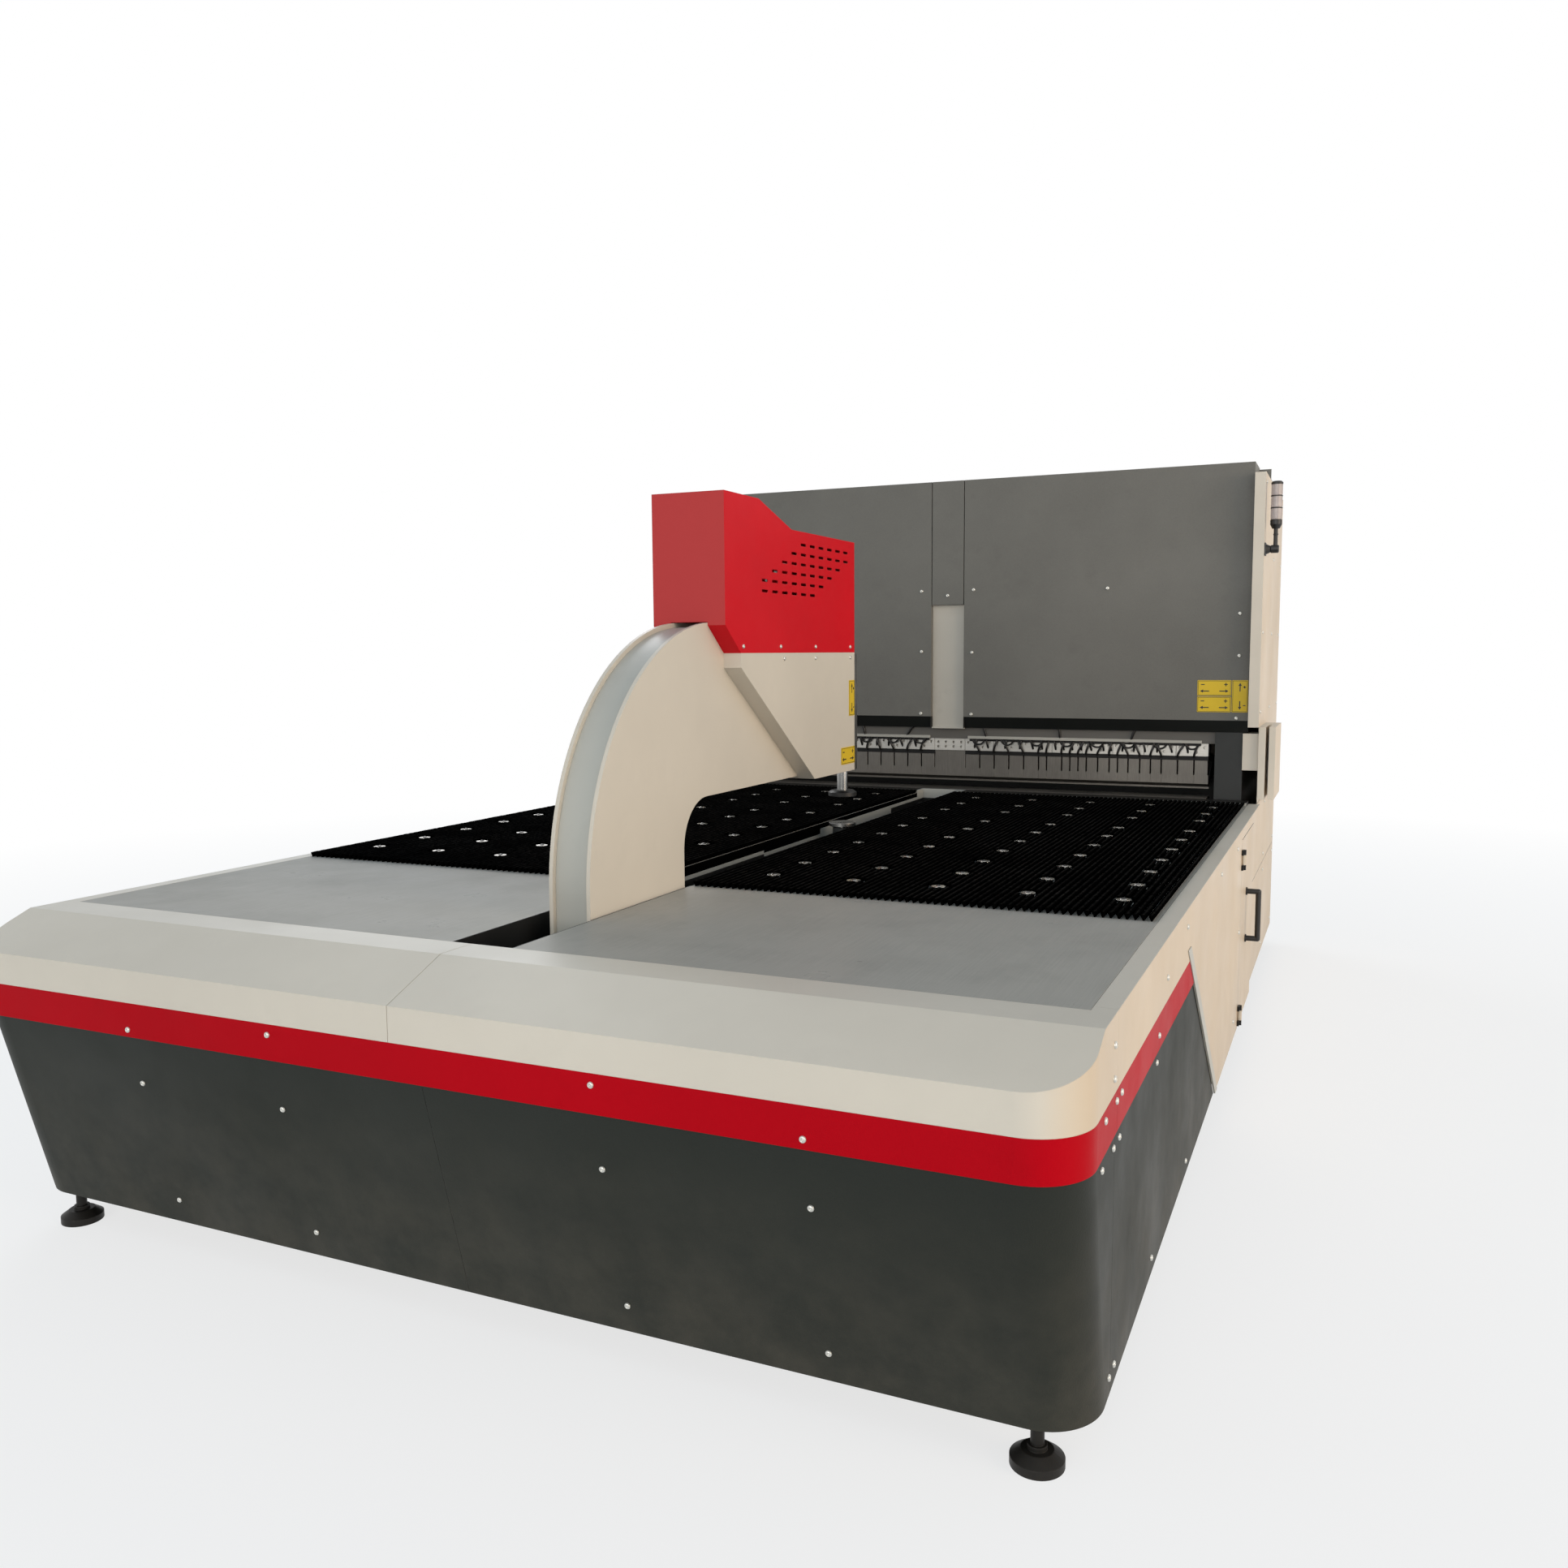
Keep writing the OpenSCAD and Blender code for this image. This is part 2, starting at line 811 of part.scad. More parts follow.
// Brush bed: a board with rows of bristles that spread towards their tips
module brush_bed(x0, x1) {
    rows = floor((x1 - x0 - bristle_tip) / brush_pitch);
    first = (x0 + x1 - rows * brush_pitch) / 2;
    difference() {
        translate([0, bed_back, frame_top]) rotate([90, 0, 0]) linear_extrude(bed_l) {
            translate([x0, 0]) square([x1 - x0, board_t]);
            for (i = [0 : rows]) translate([first + i * brush_pitch, board_t]) polygon([
                [-bristle_root / 2, -eps], [bristle_root / 2, -eps],
                [bristle_tip / 2, bristle_l], [-bristle_tip / 2, bristle_l]
            ]);
        }
        for (p = ball_points(x0 < 0 ? -1 : 1)) translate([p[0], p[1], board_top]) {
            cylinder(r = cup_hole_r, h = bristle_l + eps);
            translate([0, 0, -board_t - eps]) cylinder(r = cup_r + fit_gap, h = board_t + 2 * eps);
        }
    }
}

// Ball places on one side: columns with a break between two groups of rows
function ball_points(s) = [
    for (c = [0 : columns - 1])
        for (r = [0 : ball_rows - 1])
            [s * (ball_x + c * ball_col),
                bed_front + ball_y + r * ball_row + (r < front_rows ? 0 : ball_break)]
];

module brush_bed_left() {
    color(black) placed() brush_bed(-side_x + rim_w + joint_gap, -slot_left - guide_t);
}

module brush_bed_right() {
    color(black) placed() brush_bed(slot_right + guide_t, side_x - rim_w - joint_gap);
}

// Transfer balls in flanged cups that stand in the boards between the bristles
module ball_units() {
    color(steel) placed() for (s = [-1, 1])
        for (p = ball_points(s)) translate([p[0], p[1], board_top]) ball_unit();
}

module ball_unit() {
    ball_z = bristle_l - ball_d / 2;
    rim_z = ball_z + cup_rim;
    difference() {
        rotate_extrude() polygon([
            [0, -board_t + cup_floor], [cup_r, -board_t + cup_floor], [cup_r, 0], [cup_flange_r, 0],
            [cup_flange_r, cup_flange_t], [cup_r, cup_flange_t], [cup_r, rim_z - cup_flange_t],
            [cup_flange_r, rim_z - cup_flange_t], [cup_flange_r, rim_z], [0, rim_z]
        ]);
        translate([0, 0, ball_z]) sphere(r = ball_d / 2 + fit_gap);
    }
    translate([0, 0, ball_z]) sphere(r = ball_d / 2);
}

// Strips on both slot edges and the apron plate between the beds and the lower tool
module slot_trim() {
    color(light_grey) placed() {
        slot_strip(-slot_left - guide_t);
        slot_strip(slot_right);
        difference() {
            block([-side_x + rim_w + joint_gap, bed_back, frame_top],
                [side_x - rim_w - joint_gap, head_front, z_sheet - 4]);
            block([-slot_left, bed_back - eps, frame_top - eps], [slot_right, slot_back, z_sheet + eps]);
        }
    }
}

// Edge strip of the slot: level with the deck, then in three steps along the boards
module slot_strip(x) {
    low = frame_top - tube;
    block([x, slot_front, low], [x + guide_t, bed_front, table_h]);
    block([x, bed_front, low], [x + guide_t, step_places[0], board_top]);
    block([x, step_places[0], low], [x + guide_t, step_places[1], board_top - step_down]);
    block([x, step_places[1], low], [x + guide_t, bed_back - joint_gap, board_top + step_up]);
}

module arm_rails() {
    color(steel) placed() for (s = [-1, 1]) {
        block([s * rail_x - rail_w / 2, slot_front, rail_z],
            [s * rail_x + rail_w / 2, head_front - bearing_w, rail_z + rail_h]);
    }
}

// Portal side plate with a lightening window and stubs that carry the covers
module side_frame() {
    lip_back = hood_y + lip_d + sheet_t;
    difference() {
        union() {
            block([frame_in, lip_back, frame_low], [frame_out, frame_back, frame_plate_top]);
            block([frame_in, hood_y + sheet_t, hood_low + sheet_t], [frame_out, frame_back, frame_plate_top]);
            for (z = stub_levels) {
                block([frame_out, stub_y, z], [cover_face - sheet_t, stub_y + stub_w, z + stub_w]);
            }
        }
        along_x(frame_in - eps, frame_out + eps) window_form();
    }
}

// Outline of the side frame's window, with rounded corners
module window_form() {
    r = window_r;
    translate([window_front + r, window_low])
        square([window_back - window_front - 2 * r, window_top - window_low]);
    translate([window_front, window_low + r])
        square([window_back - window_front, window_top - window_low - 2 * r]);
    for (y = [window_front + r, window_back - r])
        for (z = [window_low + r, window_top - r]) translate([y, z]) circle(r = r);
}

module side_frame_left() {
    color(dark) placed() mirror([1, 0, 0]) side_frame();
}

module side_frame_right() {
    color(dark) placed() side_frame();
}

// Bed of the bending head with the lower beam, the saddle rails and the reach cylinders
module head_bed() {
    color(dark) placed() difference() {
        union() {
            block([-frame_in, head_front, frame_low], [frame_in, bend_y - 5, lower_beam_top]);
            block([-frame_in, bend_y - 5, frame_low], [frame_in, frame_back, saddle_rail_z]);
            for (s = [-1, 1]) {
                block([s * saddle_rail_x - 30, saddle_front, saddle_rail_z],
                    [s * saddle_rail_x + 30, reach_block_y - 20, saddle_z]);
                block([s * reach_x - 60, reach_block_y, saddle_rail_z],
                    [s * reach_x + 60, frame_back, reach_z + 50]);
            }
        }
        for (s = [-1, 1]) translate([s * reach_x, reach_block_y - eps, reach_z]) rotate([-90, 0, 0])
            cylinder(r = reach_r + run_gap, h = 60 + eps);
    }
}

// Lower tool with its working edge at the bend line and a bevel on the table side
module lower_tool() {
    color(steel) placed() along_x(-bend_l / 2, bend_l / 2) polygon([
        [head_front, lower_beam_top], [bend_y, lower_beam_top], [bend_y, z_sheet - 2],
        [head_front + 30, z_sheet - 2], [head_front, z_sheet - 14]
    ]);
}

module crown_beam() {
    color(dark) placed() difference() {
        block([-frame_in, beam_y + 5, crown_z], [frame_in, beam_y + 5 + crown_d, crown_z + crown_h]);
        for (s = [-1, 1]) translate([s * cylinder_x, cylinder_y, crown_z - eps])
            cylinder(r = cylinder_r + fit_gap, h = crown_h + 2 * eps);
    }
}

module beam_cylinders() {
    color(steel) placed() for (s = [-1, 1]) translate([s * cylinder_x, cylinder_y, 0]) difference() {
        union() {
            translate([0, 0, crown_z - 5]) cylinder(r = cylinder_r, h = crown_h + 40);
            translate([0, 0, crown_z + crown_h]) cylinder(r = cylinder_r + 25, h = 25);
        }
        translate([0, 0, crown_z - 5 - eps]) cylinder(r = beam_rod_r + run_gap, h = crown_h + eps);
    }
}

// Folded hood half on the right: front, slanted lip, top, side and channel return
module hood_half_shell() {
    t = sheet_t;
    along_x(channel_half, hood_half) polygon([
        [hood_y, hood_z], [hood_y, hood_low], [hood_y + lip_d, hood_low - lip_h],
        [hood_y + lip_d + t, hood_low - lip_h + 1], [hood_y + t, hood_low + 1], [hood_y + t, hood_z - t],
        [hood_y + hood_flange, hood_z - t], [hood_y + hood_flange, hood_z]
    ]);
    block([hood_half - t, hood_y, hood_low], [hood_half, hood_y + hood_flange, hood_z]);
    block([channel_half, hood_y, hood_low - lip_h], [channel_half + t, channel_y + t, hood_z]);
}

module hood_left() {
    color(hood_grey) placed() mirror([1, 0, 0]) hood_half_shell();
}

module hood_right() {
    color(hood_grey) placed() hood_half_shell();
}

// Cover strip over the upper part of the channel
module hood_strip() {
    x = channel_half - hood_seam;
    color(hood_grey) placed() {
        block([-x, hood_y, channel_top], [x, hood_y + sheet_t, hood_z]);
        for (s = [-1, 1]) {
            x0 = s > 0 ? x - sheet_t : -x;
            block([x0, hood_y, channel_top], [x0 + sheet_t, channel_y, hood_z - sheet_t]);
        }
        block([-x, hood_y, channel_top], [x, channel_y, channel_top + sheet_t]);
        block([-x, hood_y, hood_z - sheet_t], [x, hood_y + hood_flange, hood_z]);
    }
}

module channel_plate() {
    color(light_grey) placed() {
        block([-channel_half, channel_y, hood_low - lip_h - 5],
            [channel_half, channel_y + sheet_t, hood_z - sheet_t]);
        block([-channel_half, channel_y - 12, hood_low - lip_h - 5],
            [channel_half, channel_y, hood_low - lip_h + 3]);
    }
}

// White side cover of the head on the right, with two guard panels and an end box below it
module head_cover() {
    back = rear_y - rear_d;
    fold = hood_half + cover_gap;
    block([cover_face - sheet_t, hood_y, table_h], [cover_face, back, cover_low]);
    block([cover_face - sheet_t, cover_y, cover_low], [cover_face, back, cover_z]);
    block([fold, cover_y, cover_low], [cover_face, cover_y + sheet_t, cover_z]);
    block([fold, cover_y, cover_z - sheet_t], [cover_face, back, cover_z]);
    for (k = [0, 1]) translate([cover_face + k * (guard_t + guard_gap), hood_y, 0])
        block([0, 0, guard_low], [guard_t, guard_l, cover_low]);
    for (z = [guard_low, cover_low - guard_block])
        block([cover_face + guard_t, hood_y + guard_l / 2, z],
            [cover_face + guard_t + guard_gap, hood_y + guard_l, z + guard_block]);
    translate([0, hood_y + end_box_set, 0])
        block([frame_out, 0, end_box_top - end_box_h], [cover_face - sheet_t, end_box_d, end_box_top]);
}

module head_cover_left() {
    color(white) placed() mirror([1, 0, 0]) head_cover();
}

module head_cover_right() {
    color(white) placed() head_cover();
}

// Panels that close the lower sides of the head, in two rows
module base_panels() {
    split = table_h - 340;
    front = door_y + door_l + door_gap + 5;
    color(white) placed() for (s = [-1, 1]) {
        block_mirror(s, [cover_face - sheet_t, front, split + 2],
            [cover_face, rear_y - rear_d, table_h - sheet_t]);
        block_mirror(s, [cover_face - sheet_t, front, z_hem], [cover_face, rear_y - rear_d, split - 2]);
    }
}

module rear_cover() {
    color(white) placed() difference() {
        block([-cover_face, rear_y - rear_d, z_hem], [cover_face, rear_y, cover_z]);
        block([-cover_face + sheet_t, rear_y - rear_d - eps, z_hem + sheet_t],
            [cover_face - sheet_t, rear_y - sheet_t, cover_z - sheet_t]);
        for (k = [-1, 0, 1]) translate([k * cover_face / 2, rear_y - seam_d, 0])
            block([-seam_w / 2, 0, 0], [seam_w / 2, big, big]);
        block([-big, rear_y - seam_d, table_h], [big, big, table_h + seam_w]);
    }
}

module top_cover() {
    front = hood_y + hood_flange + 4;
    color(hood_grey) placed() difference() {
        union() {
            block([-cover_face, front, cover_z], [cover_face, rear_y, cover_z + sheet_t]);
            block([-cover_face, front, cover_z], [cover_face, front + sheet_t, hood_z - sheet_t - 2]);
        }
        for (s = [-1, 1]) translate([s * cover_face / 2, 0, cover_z + sheet_t - seam_d])
            block([-seam_w / 2, front + sheet_t, 0], [seam_w / 2, big, big]);
    }
}

// Fixed hinge halves with their pins
module door_hinges() {
    color(black) placed() for (s = [0, 1]) mirror([s, 0, 0]) for (z = hinge_lows) {
        for (k = [0, 3]) translate([hinge_x, hinge_y, z + k * hinge_h / 4])
            cylinder(r = knuckle_r, h = hinge_h / 4 - (k == 0 ? fit_gap : 0));
        translate([hinge_x, hinge_y, z]) cylinder(r = pin_r, h = hinge_h);
        for (k = [0, 3]) block([side_x, hinge_y - leaf_w, z + k * hinge_h / 4],
            [side_x + knuckle_r, hinge_y, z + (k + 1) * hinge_h / 4 - (k == 0 ? fit_gap : 0)]);
    }
}

// Door on the right: folded tray with its own hinge knuckles
module door() {
    difference() {
        block([side_x - door_fold, door_y, door_low], [side_x, door_y + door_l, door_top]);
        block([side_x - door_fold - eps, door_y + sheet_t, door_low + sheet_t],
            [side_x - sheet_t, door_y + door_l - sheet_t, door_top - sheet_t]);
    }
    for (z = hinge_lows) difference() {
        union() {
            translate([hinge_x, hinge_y, z + hinge_h / 4]) cylinder(r = knuckle_r, h = hinge_h / 2 - fit_gap);
            block([side_x, hinge_y, z + hinge_h / 4],
                [side_x + knuckle_r, hinge_y + leaf_w, z + 3 * hinge_h / 4 - fit_gap]);
        }
        translate([hinge_x, hinge_y, z]) cylinder(r = pin_r + run_gap, h = hinge_h);
    }
}

module door_left() {
    color(white) placed() mirror([1, 0, 0]) door();
}

module door_right() {
    color(white) placed() door();
}

// Round bar handle on two legs
module handle() {
    r = handle_d / 2;
    x = side_x + handle_out - r;
    for (k = [0, 1]) translate([side_x, handle_y, handle_z + k * handle_h]) {
        rotate([0, 90, 0]) cylinder(r = r, h = x - side_x);
        rotate([0, 90, 0]) cylinder(r = r + 5, h = 6);
        translate([x - side_x, 0, 0]) sphere(r = r);
    }
    translate([x, handle_y, handle_z]) cylinder(r = r, h = handle_h);
}

module handle_left() {
    color(black) placed() mirror([1, 0, 0]) handle();
}

module handle_right() {
    color(black) placed() handle();
}

// Folding bracket of the signal tower: wall plate, boss and pin
module tower_bracket() {
    color(black) placed() {
        block([cover_face, tower_y - 28, tower_z - 28], [cover_face + 6, tower_y + 28, tower_z + 28]);
        translate([cover_face, tower_y, tower_z]) rotate([0, 90, 0]) cylinder(r1 = 26, r2 = 15, h = 24);
        translate([cover_face, tower_y, tower_z]) rotate([0, 90, 0]) cylinder(r = tower_pin_r, h = 58);
    }
}

// Signal tower: knuckle on the pin, pole, base, three lenses and a cap
module signal_tower() {
    color(light_grey) placed() difference() {
        union() {
            translate([cover_face + 24 + fit_gap, tower_y, tower_z]) rotate([0, 90, 0])
                cylinder(r = 18, h = 36);
            translate([tower_x, tower_y, tower_z]) cylinder(r = 9, h = 95);
            translate([tower_x, tower_y, tower_z + 90]) rotate_extrude() polygon([
                [0, 0], [16, 0], [tower_r, 18], [tower_r, 38], [tower_r - 2, 40], [tower_r - 2, 90],
                [tower_r, 90], [tower_r, 93], [tower_r - 2, 93], [tower_r - 2, 143], [tower_r, 143],
                [tower_r, 146], [tower_r - 2, 146], [tower_r - 2, 196], [tower_r, 196], [tower_r, 202],
                [tower_r - 6, 208], [0, 208]
            ]);
        }
        translate([cover_face, tower_y, tower_z]) rotate([0, 90, 0])
            cylinder(r = tower_pin_r + run_gap, h = 58 + run_gap);
    }
}

// Opening of the C between the lower jaw and the upper bar, grown by an inset
module throat_form(inset) {
    y = throat_y - inset;
    fillet_z = throat_z - throat_r;
    translate([y, jaw_top - inset]) square([big, fillet_z - jaw_top + inset]);
    translate([throat_y + throat_r, fillet_z - eps]) square([big, throat_r + inset + eps]);
    intersection() {
        translate([throat_y + throat_r, fillet_z]) circle(r = throat_r + inset);
        translate([y, fillet_z - eps]) square([throat_r + inset + eps, throat_r + inset + eps]);
    }
}

// Side view of the arm, drawn in by an inset: column, quarter round, upper bar and lower jaw
module arm_form(inset) {
    difference() {
        union() {
            translate([arm_back + inset, foot_z + inset])
                square([arm_r - inset + eps, arm_cz - foot_z - inset + eps]);
            intersection() {
                translate([arm_cy, arm_cz]) circle(r = arm_r - inset, $fn = 96);
                translate([arm_back, arm_cz]) square([arm_r, arm_r]);
            }
            translate([arm_cy, arm_cz]) square([arm_tip - inset - arm_cy, arm_r - inset]);
            translate([arm_cy, foot_z + inset])
                square([jaw_tip - inset - arm_cy, jaw_top - foot_z - 2 * inset]);
        }
        throat_form(inset);
    }
}

module arm_plate_left() {
    color(white) placed() along_x(-arm_half, -arm_half + arm_plate_t) arm_form(0);
}

module arm_plate_right() {
    color(white) placed() along_x(arm_half - arm_plate_t, arm_half) arm_form(0);
}

// Web that follows the outline between the plates, with a hole for the turntable drive
module arm_web() {
    x = arm_half - arm_plate_t;
    color(steel) placed() difference() {
        along_x(-x, x) difference() {
            arm_form(web_recess);
            arm_form(web_recess + web_t);
        }
        translate([0, press_y, jaw_top - web_recess - web_t - eps])
            cylinder(r = drive_r + fit_gap, h = web_t + 2 * eps);
    }
}

// Carriage plate with four rail blocks and the nut of the feed screw
module arm_carriage() {
    top = foot_z;
    under = top - carriage_t;
    front = carriage_front;
    back = carriage_front + carriage_l;
    color(steel) placed() difference() {
        union() {
            block([-carriage_half, front, under], [carriage_half, back, top]);
            for (s = [-1, 1]) for (y = [front + 20, back - 180]) {
                block([s * rail_x - 45, y, rail_z + 8], [s * rail_x + 45, y + 160, under]);
            }
            block([-55, nut_y, screw_z - 45], [55, nut_y + nut_l, under]);
        }
        for (s = [-1, 1]) block([s * rail_x - rail_w / 2 - fit_gap, front - eps, rail_z],
            [s * rail_x + rail_w / 2 + fit_gap, back + eps, rail_z + rail_h + fit_gap]);
        translate([0, nut_y - eps, screw_z]) rotate([-90, 0, 0])
            cylinder(r = screw_r + run_gap, h = nut_l + 2 * eps);
    }
}

module feed_screw() {
    y0 = frame_front + bearing_w / 3 + 1;
    color(steel) placed() translate([0, y0, screw_z]) rotate([-90, 0, 0])
        cylinder(r = screw_r, h = head_front - bearing_w / 3 - 1 - y0);
}

// Side view of the red shell, drawn in by a wall and open below
module upper_shell_form(wall) {
    low = wall > 0 ? eps : 0;
    ramp = wall * 0.15;
    polygon([
        [head_back + wall, head_split + head_corner_h + wall * 0.5], [head_back + wall, head_top - wall],
        [head_ramp_start - ramp, head_top - wall], [head_ramp_end - ramp, head_top - head_step - wall],
        [head_front_y - wall, head_top - head_step - wall], [head_front_y - wall, head_split - low],
        [head_back + head_corner_d + 1.5 * wall, head_split - low]
    ]);
}

// Red shell of the arm's head with vents in both sides and a notch for the arm
module head_shell_upper() {
    color(red) placed() difference() {
        along_x(-head_half, head_half) upper_shell_form(0);
        along_x(-head_half + sheet_t, head_half - sheet_t) upper_shell_form(sheet_t);
        block([-arm_half, head_back - eps, head_split - eps],
            [arm_half, head_back + head_corner_d + 10, arm_cz + arm_r]);
        block([-arm_half, head_front_y - 10, head_split - eps],
            [arm_half, head_front_y + eps, arm_cz + arm_r]);
        for (p = vent_points()) vent(p);
    }
}

// Vents fill a parallelogram that leans with the ramp
function vent_points() = [
    for (r = [0 : vent_rows - 1])
        for (c = [0 : vent_columns - 1])
            let (y = vent_first + (c - r) * vent_pitch)
                if (y > vent_back && y < vent_front) [y, vent_z - r * vent_row]
];

module vent(p) {
    along_x(-big, big) translate(p) {
        square([vent_l - vent_h, vent_h], center = true);
        for (s = [-1, 1]) translate([s * (vent_l - vent_h) / 2, 0]) circle(d = vent_h, $fn = 16);
    }
}

// Side view of the white shell, drawn in by a wall and open above
module lower_shell_form(wall) {
    high = wall > 0 ? eps : 0;
    polygon([
        [head_back + head_corner_d + wall, head_split + high],
        [head_back + head_corner_d + wall, head_split - head_diag_drop + wall * 0.55],
        [head_diag_end + wall * 0.3, head_low + wall], [head_front_y - wall, head_low + wall],
        [head_front_y - wall, head_split + high]
    ]);
}

module head_shell_lower() {
    color(white) placed() difference() {
        along_x(-head_half, head_half) lower_shell_form(0);
        along_x(-head_half + sheet_t, head_half - sheet_t) lower_shell_form(sheet_t);
        block([-arm_half, head_back, throat_z], [arm_half, head_diag_end, head_split + eps]);
        block([-arm_half, head_front_y - 10, throat_z], [arm_half, head_front_y + eps, head_split + eps]);
    }
}

// Nose that guides the press rod in front of the arm's tip
module arm_nose() {
    color(steel) placed() difference() {
        union() {
            block([-nose_r, arm_tip, nose_low], [nose_r, press_y, nose_top]);
            translate([0, press_y, nose_low]) cylinder(r = nose_r, h = nose_top - nose_low);
        }
        translate([0, press_y, nose_low - eps])
            cylinder(r = rod_r + run_gap, h = rod_bore_top - nose_low + eps);
    }
}

module turntable_drive() {
    low = foot_z + web_recess + web_t;
    color(dark) placed() translate([0, press_y, low]) difference() {
        cylinder(r = drive_r, h = disc_top - disc_t - 7 - low);
        translate([0, 0, 20]) cylinder(r = shaft_r + run_gap, h = big);
    }
}

module press_rod() {
    color(steel) placed() translate([0, press_y, 0]) {
        translate([0, 0, pad_z + pad_t]) cylinder(r = rod_r, h = rod_top - pad_z - pad_t);
        translate([0, 0, pad_z + pad_t - spigot_h]) cylinder(r = spigot_r, h = spigot_h + eps);
    }
}

module press_pad() {
    color(black) placed() translate([0, press_y, pad_z]) difference() {
        rotate_extrude() polygon([
            [0, 0], [pad_d / 2 - 3, 0], [pad_d / 2, 3],
            [pad_d / 2, pad_t - 8], [pad_d / 2 - 12, pad_t], [0, pad_t]
        ]);
        translate([0, 0, pad_t - spigot_h - 1]) cylinder(r = spigot_r + run_gap, h = spigot_h + 2);
    }
}

module turntable() {
    shaft_low = foot_z + web_recess + web_t + 22;
    color(steel) placed() translate([0, press_y, 0]) {
        translate([0, 0, disc_top - disc_t]) cylinder(d = turntable_d, h = disc_t);
        translate([0, 0, shaft_low]) cylinder(r = shaft_r, h = disc_top - disc_t - shaft_low + eps);
    }
}

// Blank-holder beam with the two rods of its cylinders
module upper_beam() {
    x = frame_in - fit_gap;
    color(light_grey) placed() {
        block([-x, beam_y, beam_z], [x, beam_y + beam_d, beam_z + beam_h]);
        for (s = [-1, 1]) translate([s * cylinder_x, cylinder_y, beam_z + beam_h - eps])
            cylinder(r = beam_rod_r, h = 310 + eps);
    }
}

// Row of drilled blocks under the beam, with the centre one as wide as the centre tool
module tool_holders() {
    color(white) placed() {
        holder(-centre_tool_w / 2, centre_tool_w, true);
        for (x = [-bend_l / 2, centre_tool_w / 2])
            for (i = [0 : holder_count - 1]) holder(x + i * holder_w, holder_w, false);
    }
}

// Drilled block: two full rows of holes, or an upper row with one hole lower down
module holder(x, w, full) {
    difference() {
        block([x + joint_gap, holder_y, holder_z], [x + w - joint_gap, bend_y, beam_z]);
        for (c = [0 : 3]) for (z = [hole_low, hole_high]) if (full || (z == hole_low) == (c == 2))
            translate([x + (2 * c + 1) * w / 8, holder_y - eps, holder_z + z]) rotate([-90, 0, 0])
                cylinder(d = hole_d, h = hole_deep + eps);
    }
}

// Clamp bars above the segments on both sides of the centre tool
module clamp_strip() {
    color(black) placed() for (s = [-1, 1])
        block_mirror(s, [centre_tool_w / 2, tool_y - 4, strip_z], [bend_l / 2, bend_y, holder_z]);
}

function total(list, n) = n == 0 ? 0 : list[n - 1] + total(list, n - 1);

// Blank-holder tool: a plain centre piece between rows of slit segments
module tool_segments() {
    half_l = bend_l / 2;
    run = half_l - centre_tool_w / 2;
    count = len(right_shares);
    share = run / total(right_shares, count);
    color(steel) placed() {
        along_x(-centre_tool_w / 2, centre_tool_w / 2) tool_profile(holder_z);
        for (i = [0 : left_count - 1]) segment(-half_l + i * run / left_count, run / left_count);
        for (i = [0 : count - 1])
            segment(centre_tool_w / 2 + share * total(right_shares, i), share * right_shares[i]);
    }
}

// Section of a tool: thin at the working edge, which lies at the bend line
module tool_profile(top) {
    polygon([
        [tool_y, top], [tool_y, tool_low + tool_bevel], [bend_y - tool_edge, tool_low],
        [bend_y, tool_low], [bend_y, top]
    ]);
}

module segment(x, w) {
    low = strip_z - tool_h * slit_share;
    difference() {
        along_x(x + tool_gap / 2, x + w - tool_gap / 2) tool_profile(strip_z);
        for (x0 = [x, x + w - slit_w / 2]) {
            block([x0 - eps, tool_y - eps, low], [x0 + slit_w / 2 + (x0 > x ? eps : 0), big, strip_z + eps]);
        }
    }
}

// Air rails above the holders, left out at the channel, with short hose loops
module air_manifold() {
    inner = channel_half + manifold_end / 2;
    outer = bend_l / 2 - manifold_end;
    color(black) placed() for (s = [-1, 1]) {
        block_mirror(s, [inner, beam_y - manifold_d, beam_z], [outer, beam_y, beam_z + manifold_h]);
        for (i = [0 : holder_count - 1])
            translate([s * (centre_tool_w / 2 + (i + 0.5) * holder_w), beam_y - hose_r, beam_z + hose_r])
                rotate([90, 0, 0])
                rotate_extrude(angle = -180) translate([hose_loop, 0]) circle(r = hose_r, $fn = 16);
    }
}

// Saddle that slides on the head bed and carries the bend frame
module bend_saddle() {
    y1 = bend_back + fit_gap;
    back = reach_block_y - 30;
    color(steel) placed() difference() {
        union() {
            block([-saddle_half, y1, saddle_z], [saddle_half, y1 + saddle_plate, bend_top + saddle_over]);
            block([-saddle_half, saddle_front + 20, saddle_z], [saddle_half, back, saddle_z + saddle_base]);
            for (s = [-1, 1]) {
                translate([s * saddle_rail_x, lift_y, saddle_z])
                    cylinder(r = lift_tube_r, h = lift_top - saddle_z);
                translate([s * reach_x, back - eps, reach_z]) rotate([-90, 0, 0])
                    cylinder(r = reach_r, h = reach_rod_l);
            }
        }
        for (s = [-1, 1]) translate([s * saddle_rail_x, lift_y, saddle_z + saddle_base])
            cylinder(r = lift_r + run_gap, h = big);
    }
}

